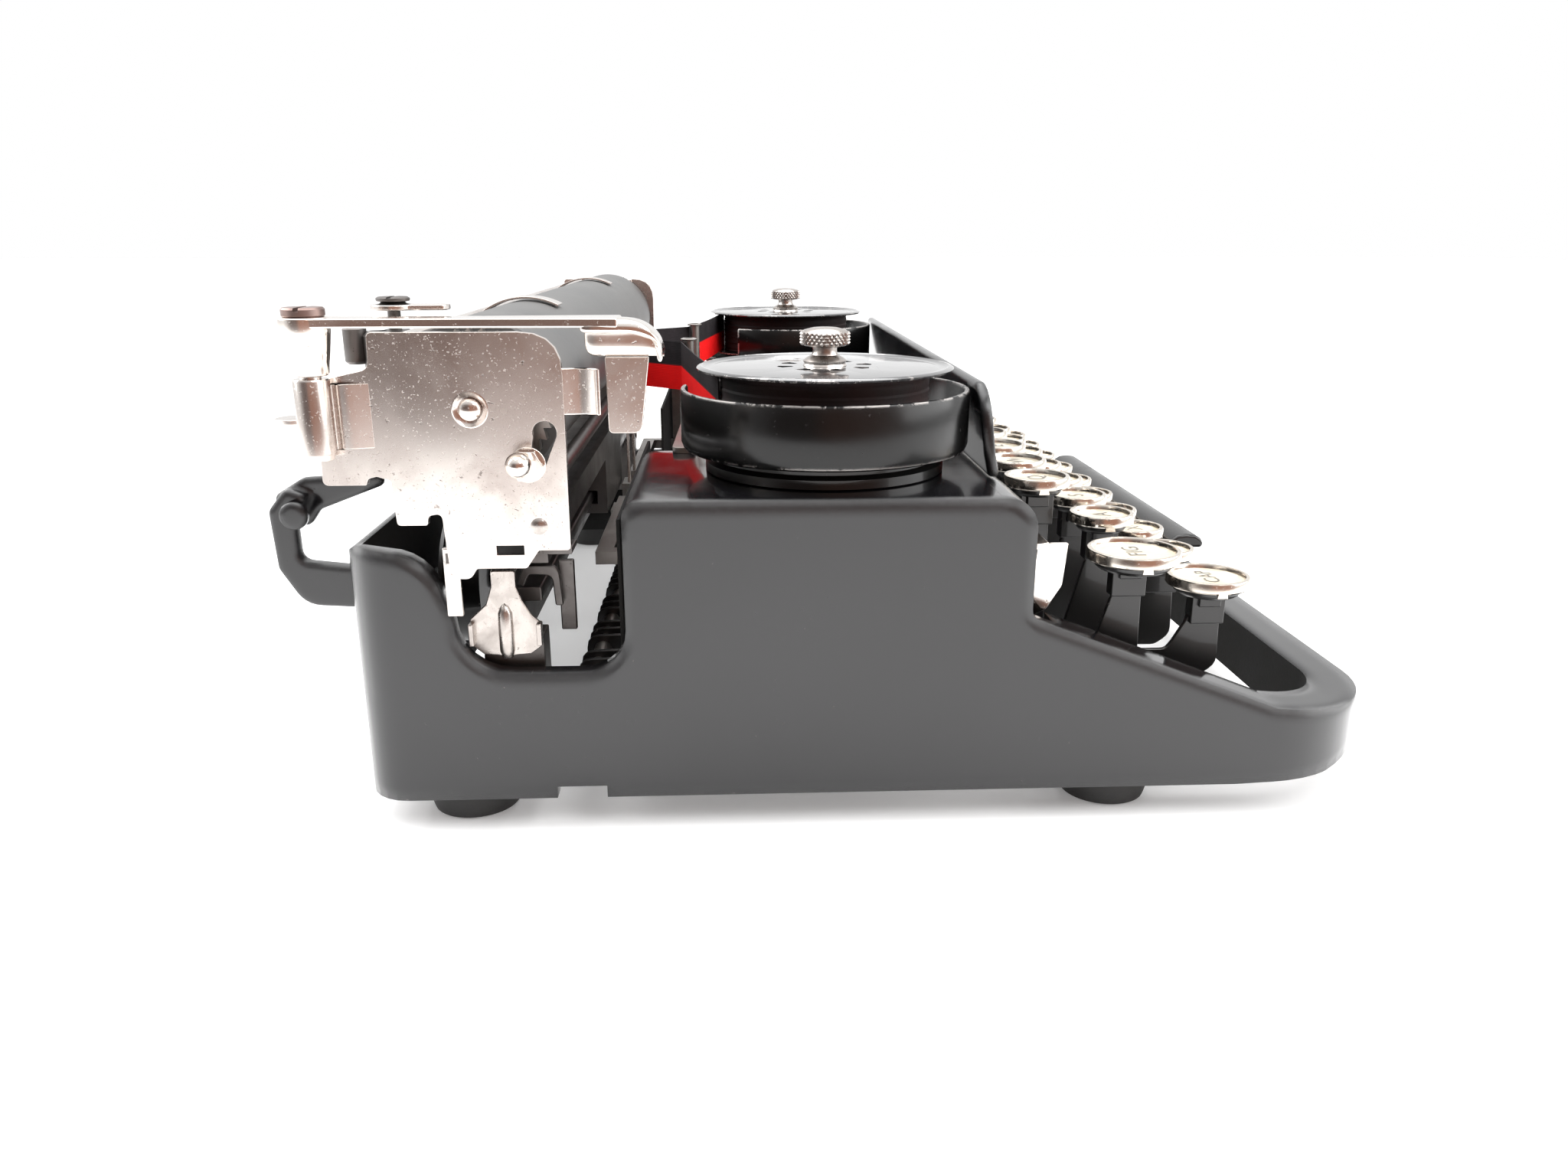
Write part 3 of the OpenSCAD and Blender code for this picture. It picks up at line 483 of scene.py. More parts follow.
def lathe(mesh, profile, centre, axis="z", steps=48, slot=0):
    """Turns a profile of (radius, height) points about an axis through centre."""
    place_point = AXES[axis]
    offset = {"x": (centre[1], centre[2], centre[0]), "y": (centre[0], centre[2], centre[1]),
              "z": (centre[0], centre[1], centre[2])}[axis]
    rings = []
    for radius, height in profile:
        if radius < 1e-6:
            rings.append([mesh.verts.new(place_point(offset[0], offset[1], offset[2] + height))])
            continue
        rings.append([mesh.verts.new(place_point(a, b, offset[2] + height))
                      for a, b in ring_points(offset[0], offset[1], radius, steps=steps)])
    closed = rings[0] if profile[0][0] > 1e-6 and profile[-1][0] > 1e-6 else None
    pairs = list(zip(rings, rings[1:])) + ([(rings[-1], rings[0])] if closed else [])
    for low, high in pairs:
        for i in range(steps):
            j = (i + 1) % steps
            corners = [low[i % len(low)], low[j % len(low)], high[j % len(high)], high[i % len(high)]]
            unique = list(dict.fromkeys(corners))
            if len(unique) > 2:
                mesh.faces.new(unique).material_index = slot


def rod(mesh, centre, radius, low, high, axis="x", steps=24, edge=0.15, slot=0):
    """A cylinder with softened ends, from low to high along an axis."""
    at_axis = {"x": 0, "y": 1, "z": 2}[axis]
    base = list(centre)
    base[at_axis] = 0
    edge = min(edge, radius * 0.4, (high - low) * 0.3)
    lathe(mesh, [(0, low), (radius - edge, low), (radius, low + edge), (radius, high - edge),
                 (radius - edge, high), (0, high)], base, axis, steps, slot)


def add_object(name, data):
    thing = bpy.data.objects.new(name, data)
    bpy.context.scene.collection.objects.link(thing)
    return thing


def to_world(mesh):
    for vert in mesh.verts:
        vert.co = world(vert.co)


def shade(data, sharp=38):
    """Smooth shading that breaks at edges sharper than an angle."""
    data.polygons.foreach_set("use_smooth", [True] * len(data.polygons))
    data.set_sharp_from_angle(angle=math.radians(sharp))


def plain_mesh(thing):
    """Mesh of an object with its modifiers applied."""
    depsgraph = bpy.context.evaluated_depsgraph_get()
    return bpy.data.meshes.new_from_object(thing.evaluated_get(depsgraph))


def finish_piece(name, mesh, materials, body, replaces=(), bevel=0.0, segments=2,
                 sharp=38, recalculate=True):
    """Turns a bmesh in builders' millimetres into a piece that rides on a body."""
    if recalculate:
        bmesh.ops.recalc_face_normals(mesh, faces=mesh.faces)
    to_world(mesh)
    data = bpy.data.meshes.new(name)
    mesh.to_mesh(data)
    mesh.free()
    for material in materials:
        data.materials.append(material)
    shade(data, sharp)
    piece = add_object(name, data)
    if bevel:
        modifier = piece.modifiers.new("soft_edges", "BEVEL")
        modifier.width = bevel * MM
        modifier.segments = segments
        modifier.limit_method = "ANGLE"
        modifier.angle_limit = math.radians(sharp)
        modifier.harden_normals = True
    if body:
        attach(piece, body)
    if replaces:
        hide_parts(*replaces)
    return piece


def carve(piece, cutters):
    """Cuts each bmesh in cutters out of a piece, and keeps the result as plain mesh."""
    for number, cutter in enumerate(cutters):
        bmesh.ops.recalc_face_normals(cutter, faces=cutter.faces)
        to_world(cutter)
        data = bpy.data.meshes.new("cutter")
        cutter.to_mesh(data)
        cutter.free()
        tool = add_object("cutter", data)
        modifier = piece.modifiers.new(f"cut_{number}", "BOOLEAN")
        modifier.object = tool
        modifier.solver = "EXACT"
        # cuts come before the soft edges
        piece.modifiers.move(len(piece.modifiers) - 1, number)
    others = [m for m in piece.modifiers if m.type != "BOOLEAN"]
    shown = [m.show_viewport for m in others]
    for m in others:
        m.show_viewport = False
    data = plain_mesh(piece)
    shade(data)
    for m in [m for m in piece.modifiers if m.type == "BOOLEAN"]:
        tool = m.object
        piece.modifiers.remove(m)
        bpy.data.objects.remove(tool)
    for m, state in zip(others, shown):
        m.show_viewport = state
    piece.data = data
    return piece


def cut_shape(builder):
    mesh = bmesh.new()
    builder(mesh)
    return mesh


def cad_copy(node, name, material, body, bevel, segments=3, sharp=35):
    """Copy of a CAD node with clean faces and soft edges, in the node's place."""
    source = frame["nodes"][node]
    mesh = bmesh.new()
    mesh.from_mesh(source.data)
    bmesh.ops.remove_doubles(mesh, verts=mesh.verts, dist=2e-6)
    bmesh.ops.dissolve_limit(mesh, angle_limit=math.radians(0.6), verts=mesh.verts, edges=mesh.edges)
    for vert in mesh.verts:
        vert.co = (source.matrix_world @ vert.co - MIDDLE) / MM
    return finish_piece(name, mesh, [material], body, (node,), bevel, segments, sharp, False)


# ---- repeated details by Geometry Nodes ----------------------------------------

def repeat_tree(name, settings):
    """Node tree that puts a small shape on every point, turned to the point's normal."""
    tree = bpy.data.node_groups.new(name, "GeometryNodeTree")
    tree.interface.new_socket("Geometry", in_out="INPUT", socket_type="NodeSocketGeometry")
    for label, value in settings.items():
        socket = tree.interface.new_socket(label, in_out="INPUT", socket_type="NodeSocketFloat")
        socket.default_value = value
    tree.interface.new_socket("Finish", in_out="INPUT", socket_type="NodeSocketMaterial")
    tree.interface.new_socket("Geometry", in_out="OUTPUT", socket_type="NodeSocketGeometry")
    return tree, tree.nodes.new("NodeGroupInput"), tree.nodes.new("NodeGroupOutput")


def place_on_points(tree, inp, out, shape):
    """Instances a shape on the points, makes it real and gives it the finish."""
    nodes, links = tree.nodes, tree.links
    align = nodes.new("FunctionNodeAlignEulerToVector")
    align.axis = "Z"
    normal = nodes.new("GeometryNodeInputNamedAttribute")
    normal.data_type = "FLOAT_VECTOR"
    normal.inputs["Name"].default_value = "facing"
    links.new(normal.outputs["Attribute"], align.inputs["Vector"])
    instance = nodes.new("GeometryNodeInstanceOnPoints")
    links.new(inp.outputs["Geometry"], instance.inputs["Points"])
    links.new(shape, instance.inputs["Instance"])
    links.new(align.outputs[0], instance.inputs["Rotation"])
    realize = nodes.new("GeometryNodeRealizeInstances")
    links.new(instance.outputs[0], realize.inputs[0])
    material = nodes.new("GeometryNodeSetMaterial")
    links.new(realize.outputs[0], material.inputs["Geometry"])
    links.new(inp.outputs["Finish"], material.inputs["Material"])
    links.new(material.outputs[0], out.inputs[0])


def cylinder_node(tree, radius, depth, vertices):
    """A Mesh Cylinder whose sizes are numbers or sockets."""
    node = tree.nodes.new("GeometryNodeMeshCylinder")
    node.inputs["Vertices"].default_value = vertices
    for label, value in (("Radius", radius), ("Depth", depth)):
        if isinstance(value, (int, float)):
            node.inputs[label].default_value = value
        else:
            tree.links.new(value, node.inputs[label])
    return node.outputs["Mesh"]


def screw_tree():
    """Slotted cheese-head screws."""
    tree, inp, out = repeat_tree("slotted_screws", {"Radius": 0.0025, "Height": 0.0012})
    head = cylinder_node(tree, inp.outputs["Radius"], inp.outputs["Height"], 24)
    slot = tree.nodes.new("GeometryNodeMeshCube")
    size = tree.nodes.new("ShaderNodeCombineXYZ")
    links = tree.links
    links.new(math_node(tree, "MULTIPLY", inp.outputs["Radius"], 2.4), size.inputs[0])
    links.new(math_node(tree, "MULTIPLY", inp.outputs["Radius"], 0.3), size.inputs[1])
    links.new(inp.outputs["Height"], size.inputs[2])
    links.new(size.outputs[0], slot.inputs["Size"])
    lift = tree.nodes.new("GeometryNodeTransform")
    up = tree.nodes.new("ShaderNodeCombineXYZ")
    links.new(math_node(tree, "MULTIPLY", inp.outputs["Height"], 0.55), up.inputs[2])
    links.new(slot.outputs["Mesh"], lift.inputs["Geometry"])
    links.new(up.outputs[0], lift.inputs["Translation"])
    cut = tree.nodes.new("GeometryNodeMeshBoolean")
    cut.operation = "DIFFERENCE"
    links.new(head, cut.inputs["Mesh 1"])
    links.new(lift.outputs[0], cut.inputs["Mesh 2"])
    place_on_points(tree, inp, out, cut.outputs["Mesh"])
    return tree


def stud_tree():
    """Small pyramids, for knurling."""
    tree, inp, out = repeat_tree("knurl_studs", {"Radius": 0.0005, "Height": 0.0003})
    cone = tree.nodes.new("GeometryNodeMeshCone")
    cone.inputs["Vertices"].default_value = 4
    cone.inputs["Radius Top"].default_value = 0.00005
    tree.links.new(inp.outputs["Radius"], cone.inputs["Radius Bottom"])
    tree.links.new(inp.outputs["Height"], cone.inputs["Depth"])
    place_on_points(tree, inp, out, cone.outputs["Mesh"])
    return tree


SCREWS = screw_tree()
STUDS = stud_tree()


def repeated(name, tree, places, material, body, slot, **sizes):
    """Runs a repeat tree over (point, facing) places and keeps the plain mesh."""
    data = bpy.data.meshes.new(name + "_places")
    data.from_pydata([world(point) for point, _ in places], [], [])
    facing = data.attributes.new("facing", "FLOAT_VECTOR", "POINT")
    for i, (_, direction) in enumerate(places):
        facing.data[i].vector = direction
    holder = add_object(name + "_places", data)
    modifier = holder.modifiers.new("repeat", "NODES")
    modifier.node_group = tree
    for item in tree.interface.items_tree:
        if item.in_out == "INPUT" and item.name in sizes:
            modifier[item.identifier] = sizes[item.name] * MM
        if item.in_out == "INPUT" and item.name == "Finish":
            modifier[item.identifier] = material
    mesh = plain_mesh(holder)
    mesh.name = name
    bpy.data.objects.remove(holder)
    shade(mesh)
    piece = add_object(name, mesh)
    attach(piece, body)
    return piece


# ---- cast body ---------------------------------------------------------------------

def build_body():
    body = cad_copy("body_frame", "cast_body", BLACK, "frame", 1.95, 4, 30)
    body.data.materials.append(BLACK_INSIDE)
    for face in body.data.polygons:
        middle = (Vector(face.center) - MIDDLE) / MM
        corner = Vector((max(abs(middle.x) - X_MAX + 30, 0),
                         max(abs(middle.y) - REAR_Y + 30, 0)))
        inside = corner.length < 30 - 2.5 and middle.z < LEDGE_Z - 1
        if inside and (face.normal.z < 0.5 or (middle.y > -30 and middle.z < 32)):
            face.material_index = 1
    cad_copy("front_panel", "name_panel_blank", BLACK_PANEL, "frame", 1.0, 3, 30)
    foot_lo, foot_hi = local("feet")
    radius = 10
    mesh = bmesh.new()
    for x in (foot_lo.x + radius, foot_hi.x - radius):
        for y in (foot_lo.y + radius, foot_hi.y - radius):
            lathe(mesh, [(0, 0), (radius - 2.2, 0), (radius - 1.2, 0.5), (radius - 0.9, 1.4),
                         (radius - 0.2, 4.6), (radius - 0.1, BASE_Z), (0, BASE_Z)], (x, y, 0))
    finish_piece("rubber_feet", mesh, [FOOT_RUBBER], "frame", ("feet",))


def build_bracket():
    """Bent flat arm on the rear wall, with its shouldered pivot screw."""
    x0 = local("rear_bracket")[1].x - 6
    y = REAR_Y
    lower = rounded([(y - 0.5, 42.4, 0), (y + 13, 43.2, 6), (y + 17.6, 51, 3), (y + 18.2, 63, 2.5),
                     (y + 14.5, 67.6, 2), (y + 10.5, 66, 1), (y + 13.2, 60, 1), (y + 13.2, 52.4, 2.5),
                     (y - 0.5, 50.8, 0)])
    mesh = bmesh.new()
    prism(mesh, lower, x0, x0 + 3.2)
    upper = rounded([(y + 17.4, 60.5, 2), (y + 17.8, 65.5, 2), (y + 12, 69, 3), (y - 4, 70, 1),
                     (y - 4, 67.4, 1), (y + 9, 62.5, 2), (y + 11.5, 59, 2)])
    prism(mesh, upper, x0 + 3.2, x0 + 5.6)
    finish_piece("rear_bracket_arms", mesh, [BLACK_PANEL], "frame",
                 ("rear_bracket",), 0.5, 3)
    mesh = bmesh.new()
    lathe(mesh, [(0, 0), (2.0, 0), (2.0, -0.6), (2.7, -0.6), (2.8, -0.8), (2.8, -1.9), (2.5, -2.2),
                 (0, -2.3)],
          (x0, y + 12.6, 62.4), "x", 32)
    finish_piece("bracket_pivot_screw", mesh, [BLACK_PANEL], "frame")


# ---- ribbon ------------------------------------------------------------------------

def build_cups():
    """Thin cups on their pedestals, open on the side that the ribbon leaves by."""
    floor_z = local("ribbon_cups")[0].z + 4.5
    radius = CUP_R
    for name, side in (("left", -1), ("right", 1)):
        mesh = bmesh.new()
        centre = (side * abs(SPOOL_X), SPOOL_Y, floor_z)
        lathe(mesh, [(3.2, 0), (radius - 1.6, 0), (radius - 0.5, 0.5), (radius, 1.8), (radius, 12.3),
                     (radius - 0.25, 12.7), (radius - 0.6, 12.8), (radius - 0.95, 12.7),
                     (radius - 1.2, 12.3), (radius - 1.2, 2.0), (radius - 1.8, 1.2), (3.2, 1.2)],
              centre, "z", 112)
        piece = finish_piece(f"{name}_ribbon_cup", mesh, [BLACK_CUP], "frame",
                             ("ribbon_cups",) if side < 0 else ())
        turn = math.radians(58 if side < 0 else 122)

        def slot_cutter(m, c=centre, t=turn):
            corners = []
            for along, across in ((10, -12), (42, -12), (42, 12), (10, 12)):
                corners.append((c[0] + along * math.cos(t) - across * math.sin(t),
                                c[1] + along * math.sin(t) + across * math.cos(t)))
            prism(m, corners, floor_z + 2.2, floor_z + 20, "z")
        carve(piece, [cut_shape(slot_cutter)])
        mesh = bmesh.new()
        lathe(mesh, [(3.2, -4.5), (25, -4.5), (25.4, -4.2), (25.4, -2.4), (24.2, -1.6), (24.2, 0), (3.2, 0)],
              centre, "z", 72)
        finish_piece(f"{name}_cup_pedestal", mesh, [BLACK_LEVER], "frame")
    screws = [((side * abs(SPOOL_X) + 17 * math.cos(t), SPOOL_Y + 17 * math.sin(t), floor_z + 1.5),
               (0, 0, 1)) for side in (-1, 1) for t in (0.6, 2.7, 4.8)]
    repeated("cup_floor_screws", SCREWS, screws, STEEL, "frame", "steel", Radius=1.8, Height=0.9)


def build_spool(side, body):
    """Spool flanges with a rolled edge and star slots, and the ribbon wound between them."""
    low, high = local(body)
    centre = (side * abs(SPOOL_X), SPOOL_Y, 0)
    for name, z, up in (("upper", high.z - 0.8, 1), ("lower", low.z, -1)):
        mesh = bmesh.new()
        face = z + (0.8 if up > 0 else 0)
        other = z + (0 if up > 0 else 0.8)
        lathe(mesh, [(2.6, face - 0.25 * up), (SPOOL_R - 4.2, face - 0.25 * up),
                     (SPOOL_R - 3.2, face - 0.45 * up),
                     (SPOOL_R - 1.7, face - 0.4 * up), (SPOOL_R - 1.0, face), (SPOOL_R - 0.3,
                                                                               face - 0.15 * up),
                     (SPOOL_R, face - 0.4 * up), (SPOOL_R - 0.2, other), (SPOOL_R - 1.2, other),
                     (SPOOL_R - 3.4, other + 0.05 * up), (2.6, other + 0.05 * up)], centre, "z", 112)
        # both flanges are one metal; the upper takes the lighter spool japan, whose raised tint is painted
        # sheen, the lower the darker cup enamel
        piece = finish_piece(f"{body}_{name}_flange", mesh, [BLACK_CUP if up < 0 else SPOOL_BLACK_SHEEN], body,
                             (body,) if up > 0 else ())
        if up > 0:
            cutters = []
            for k in range(8):
                t = math.radians(45 * k + 12)

                def slit(m, t=t):
                    shape = []
                    for along, across in ((7.0, -0.7), (9.6, -1.7), (10.4, 0), (9.6, 1.7), (7.0, 0.7)):
                        shape.append((centre[0] + along * math.cos(t) - across * math.sin(t),
                                      centre[1] + along * math.sin(t) + across * math.cos(t)))
                    prism(m, shape, z - 2, z + 2, "z")
                cutters.append(cut_shape(slit))
            carve(piece, cutters)
    mesh = bmesh.new()
    profile = [(5, low.z + 0.9)]
    turns = 26
    for i in range(turns + 1):
        z = low.z + 0.95 + RIBBON_W * i / turns
        profile.append((PACK_R - (0.12 if i % 2 else 0.0) - 0.1 * math.sin(i * 1.7), z))
    profile.append((5, low.z + 0.95 + RIBBON_W))
    lathe(mesh, profile, centre, "z", 96)
    finish_piece(f"{body}_wound_ribbon", mesh, [WOUND], body)
    mesh = bmesh.new()
    lathe(mesh, [(2.55, high.z - 0.2), (4.6, high.z - 0.2), (4.4, high.z + 0.25), (2.55, high.z + 0.25)],
          centre, "z", 40)
    finish_piece(f"{body}_hub_washer", mesh, [NICKEL], body)


def build_nuts():
    """Posts with their cross-knurled nuts."""
    top = local("spool_posts")[1].z
    base = local("left_spool")[1].z + 0.4
    radius = 5.25
    places = []
    mesh = bmesh.new()
    for side in (-1, 1):
        centre = (side * abs(SPOOL_X), SPOOL_Y, 0)
        lathe(mesh, [(0, LEDGE_Z + 4.6), (2.4, LEDGE_Z + 4.6), (2.4, base), (4.4, base), (4.6, base + 0.4),
                     (3.9, base + 1.0), (2.8, base + 1.6), (2.5, base + 2.4), (2.6, base + 3.2),
                     (radius - 0.9, base + 3.5), (radius - 0.35, base + 3.8), (radius - 0.3, base + 6.2),
                     (radius - 0.8, base + 6.7), (radius - 2.6, top - 0.15), (0, top)], centre, "z", 56)
        rows = 4
        around = 30
        for row in range(rows):
            for k in range(around):
                t = 2 * math.pi * (k + 0.5 * (row % 2)) / around
                out = Vector((math.cos(t), math.sin(t), 0))
                point = Vector(centre) + out * (radius - 0.28)
                point.z = base + 4.1 + row * 0.62
                places.append((point, out))
    finish_piece("knurled_nuts", mesh, [NICKEL_DARK], "frame", ("spool_posts",))
    repeated("nut_knurling", STUDS, places, NICKEL_DARK, "frame", "nickel", Radius=0.52, Height=0.34)


def strip(mesh, path, low, high, thickness):
    """An upright band along a path of (x, y, z shift) points, closed on every side."""
    rows = []
    count = len(path)
    for i in range(count):
        here = Vector(path[i][:2])
        ahead = Vector(path[min(i + 1, count - 1)][:2]) - Vector(path[max(i - 1, 0)][:2])
        across = Vector((-ahead.y, ahead.x)).normalized() * thickness / 2
        lift = path[i][2]
        rows.append([mesh.verts.new((p.x, p.y, z + lift)) for p, z in
                     ((here + across, low), (here + across, high), (here - across, high),
                      (here - across, low))])
    for a, b in zip(rows, rows[1:]):
        for k in range(4):
            j = (k + 1) % 4
            mesh.faces.new((a[k], a[j], b[j], b[k]))
    mesh.faces.new(rows[0][::-1])
    mesh.faces.new(rows[-1])


def build_ribbon():
    """Ribbon strands from the spools round the guide posts to the vibrator."""
    vib_lo, vib_hi = local("ribbon_vibrator")
    low = RIBBON_MIDDLE_Z - RIBBON_W / 2
    high = low + RIBBON_W
    run_y = vib_hi.y - 0.2
    post = Vector((-GUIDE_X, RIBBON_TURN_Y))
    centre = Vector((-abs(SPOOL_X), SPOOL_Y))
    reach = PACK_R + 0.6
    to_post = post - centre
    lean = math.acos(reach / to_post.length)
    heading = math.atan2(to_post.y, to_post.x)
    start = centre + reach * Vector((math.cos(heading + lean), math.sin(heading + lean)))
    for side, label in ((1, "left"), (-1, "right")):
        path = []
        for i in range(15):
            t = i / 14
            p = start.lerp(post, t)
            path.append((side * p.x, p.y, -0.5 * math.sin(math.pi * t)))
        for i in range(1, 9):
            p = post.lerp(Vector((-10.5, run_y)), i / 8)
            path.append((side * p.x, p.y, 0))
        mesh = bmesh.new()
        strip(mesh, path, low, high, RIBBON_T)
        piece = finish_piece(f"ribbon_{label}_strand", mesh, [RIBBON], None,
                             ("ribbon_strands",) if side > 0 else ())
        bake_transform(piece)
    mesh = bmesh.new()
    strip(mesh, [(-10.2, run_y, 0), (-5, run_y, 0), (0, run_y, 0), (5, run_y, 0), (10.2, run_y, 0)],
          low, high, RIBBON_T)
    piece = finish_piece("ribbon_middle", mesh, [RIBBON], "ribbon_vibrator")
    # vibrator: two slotted fingers on a stem each side of the type opening
    mesh = bmesh.new()
    y0, y1 = vib_lo.y, vib_lo.y + 0.8
    for side in (-1, 1):
        shape = rounded([(side * 5.6, low - 0.8, 0.6), (side * 9.9, low - 0.8, 0.6),
                         (side * 9.9, vib_hi.z, 1.2),
                         (side * 7.6, vib_hi.z, 1.2), (side * 5.6, vib_hi.z - 3, 0.8)])
        prism(mesh, shape, y0, y1, "y")
        block(mesh, (min(side * 7.6, side * 9.9), y0, vib_lo.z),
              (max(side * 7.6, side * 9.9), y1, low - 0.6))
    finish_piece("ribbon_vibrator_frame", mesh, [NICKEL], "ribbon_vibrator", ("ribbon_vibrator",),
                 0.15, 2)
    mesh = bmesh.new()
    for side in (-1, 1):
        rod(mesh, (side * GUIDE_X, GUIDE_POST_Y, 0), 1.4, LEDGE_Z, high + 1, "z")
        lathe(mesh, [(0, high + 0.4), (2.1, high + 0.4), (2.2, high + 0.8), (1.6, high + 1.0),
                     (0, high + 1.0)],
              (side * GUIDE_X, GUIDE_POST_Y, 0), "z", 24)
        arm = rounded([(side * 74, 39.6, 2), (side * 74, 45, 2), (side * 24, 44.2, 1.8),
                       (side * 24, 40.4, 1.8)])
        prism(mesh, arm, LEDGE_Z, LEDGE_Z + 1.4, "z")
    finish_piece("ribbon_guides", mesh, [STEEL], "frame", (), 0.25, 2)


# ---- keyboard ----------------------------------------------------------------------

LEVER_LOW = ROD_Z - 4.5


def lever_plate(mesh, px, key_y, key_z, step):
    """Key lever with its upright stem, cut from one flat sheet."""
    width = 7.3
    front = key_y - width / 2
    stem_top = key_z - RING_H - 3
    outline = rounded([(ROD_Y + 3.6, ROD_Z - 3.2, 3), (ROD_Y + 3.6, ROD_Z + 3.2, 3),
                       (ROD_Y - 6, ROD_Z + 3.4, 2),
                       (ROD_Y - 20, LEVER_LOW + 6.6, 3), (key_y + 8, LEVER_LOW + 6.2, 3),
                       (front + 5.4 + step, LEVER_LOW + 8, 3), (front + 5.2, stem_top, 0.4),
                       (front + 0.6, stem_top, 0.4), (front, LEVER_LOW + 2.5, 3.5), (front + 3.5,
                                                                                     LEVER_LOW, 3),
                       (ROD_Y - 20, LEVER_LOW, 3)], 3)
    prism(mesh, outline, px - LEVER_SHEET / 2, px + LEVER_SHEET / 2)


def text_mesh(text, size, x, y, z):
    """Lettering as flat mesh, centred at a point and read from the front."""
    curve = bpy.data.curves.new("lettering", "FONT")
    curve.body = text
    curve.size = size * MM
    curve.align_x = "CENTER"
    curve.align_y = "CENTER"
    curve.resolution_u = 3
    holder = add_object("lettering", curve)
    data = plain_mesh(holder)
    bpy.data.objects.remove(holder)
    mesh = bmesh.new()
    mesh.from_mesh(data)
    bpy.data.meshes.remove(data)
    for vert in mesh.verts:
        vert.co = vert.co / MM + Vector((x, y, z))
    return mesh


def build_key(node, text, plane=0.0, size=5.4):
    """Ring, card under glass, holder block, lever, and the small folded tab at the front."""
    low, high = local(node)
    x = (low.x + high.x) / 2
    radius = (high.x - low.x) / 2
    y = low.y + radius
    z = high.z
    px = x + plane
    mesh = bmesh.new()
    lever_plate(mesh, px, y, z, 2 if z > 60 else 5)
    block(mesh, (px - 1.8, y - 3.65, z - RING_H - 8.4), (px + 1.8, y + 3.65, z - RING_H - 1.4))
    block(mesh, (px - 2.6, y - 2.4, z - RING_H - 4.4), (px + 2.6, y + 2.4, z - RING_H - 1.0))
    lathe(mesh, [(0, z - RING_H - 1.9), (radius - 2.6, z - RING_H - 1.9), (radius - 1.7, z - RING_H - 1.2),
                 (radius - 1.5, z - RING_H + 0.3), (0, z - RING_H + 0.3)], (x, y, 0), "z", 32)
    finish_piece(f"{node}_lever", mesh, [BLACK_LEVER], node, (node,), 0.3, 2)
    mesh = bmesh.new()
    lathe(mesh, [(radius - 1.4, z - RING_H), (radius - 0.25, z - RING_H), (radius, z - RING_H + 0.3),
                 (radius, z - 0.5), (radius - 0.2, z - 0.12), (radius - 0.55, z), (radius - 0.95, z - 0.1),
                 (radius - 1.15, z - 0.5), (radius - 1.25, z - 1.1), (radius - 1.4, z - 1.2)],
          (x, y, 0), "z", 48)
    tab = rounded([(x - 1.1, z - RING_H + 0.3, 0), (x - 1.3, z - RING_H - 0.8, 0.3),
                   (x + 1.3, z - RING_H - 0.8, 0.3), (x + 1.1, z - RING_H + 0.3, 0)], 2)
    prism(mesh, tab, y - radius + 0.05, y - radius + 0.5, "y")
    side_tab = [(y + 0.9, z - RING_H + 0.3), (y + 1.1, z - RING_H - 0.7), (y - 1.1, z - RING_H - 0.7),
                (y - 0.9, z - RING_H + 0.3)]
    prism(mesh, side_tab, x - radius + 0.05, x - radius + 0.5)
    finish_piece(f"{node}_ring", mesh, [KEY_NICKEL], node)
    mesh = text_mesh(text, size, x, y - 0.1, z - 0.72)
    for face in mesh.faces:
        face.material_index = 1
    top = z - 0.75
    rings = [(radius - 1.15, top - 0.4), (radius - 1.2, top - 0.22), ((radius - 1.2) * 0.66, top - 0.06),
             ((radius - 1.2) * 0.33, top), (0, top)]
    lathe(mesh, [(0, top - 0.6), (radius - 1.15, top - 0.6)] + rings, (x, y, 0), "z", 48)
    finish_piece(f"{node}_card", mesh, [CARD, INK], node, recalculate=False)


def build_space_bar():
    """Half-round space bar on its two arms."""
    low, high = local("space_bar")
    half = (high.x - low.x) / 2
    y = low.y + 4.6
    top = high.z
    mesh = bmesh.new()
    outline = [(y - 4.4, top - 3.6), (y + 4.4, top - 3.6), (y + 4.5, top - 2.4), (y + 3.8, top - 1.2),
               (y + 2.4, top - 0.3), (y, top), (y - 2.4, top - 0.3), (y - 3.8, top - 1.2), (y - 4.5,
                                                                                            top - 2.4)]
    prism(mesh, outline, -half, half)
    finish_piece("space_bar_top", mesh, [SPACE_BLACK], "space_bar", ("space_bar",), 0.9, 4)
    mesh = bmesh.new()
    for px in SPACE_ARM_X:
        outline = rounded([(ROD_Y + 3.6, ROD_Z - 3.2, 3), (ROD_Y + 3.6, ROD_Z + 3.2, 3),
                           (ROD_Y - 20, LEVER_LOW + 6.6, 3),
                           (y + 9, LEVER_LOW + 6.4, 3), (y + 3, top - 3.4, 0.5), (y - 3, top - 3.4, 0.5),
                           (y - 2.6, LEVER_LOW + 3, 2), (y + 1, LEVER_LOW, 3), (ROD_Y - 20, LEVER_LOW,
                                                                                3)], 3)
        prism(mesh, outline, px - LEVER_SHEET / 2, px + LEVER_SHEET / 2)
    finish_piece("space_bar_arms", mesh, [BLACK_LEVER], "space_bar", (), 0.2, 2)


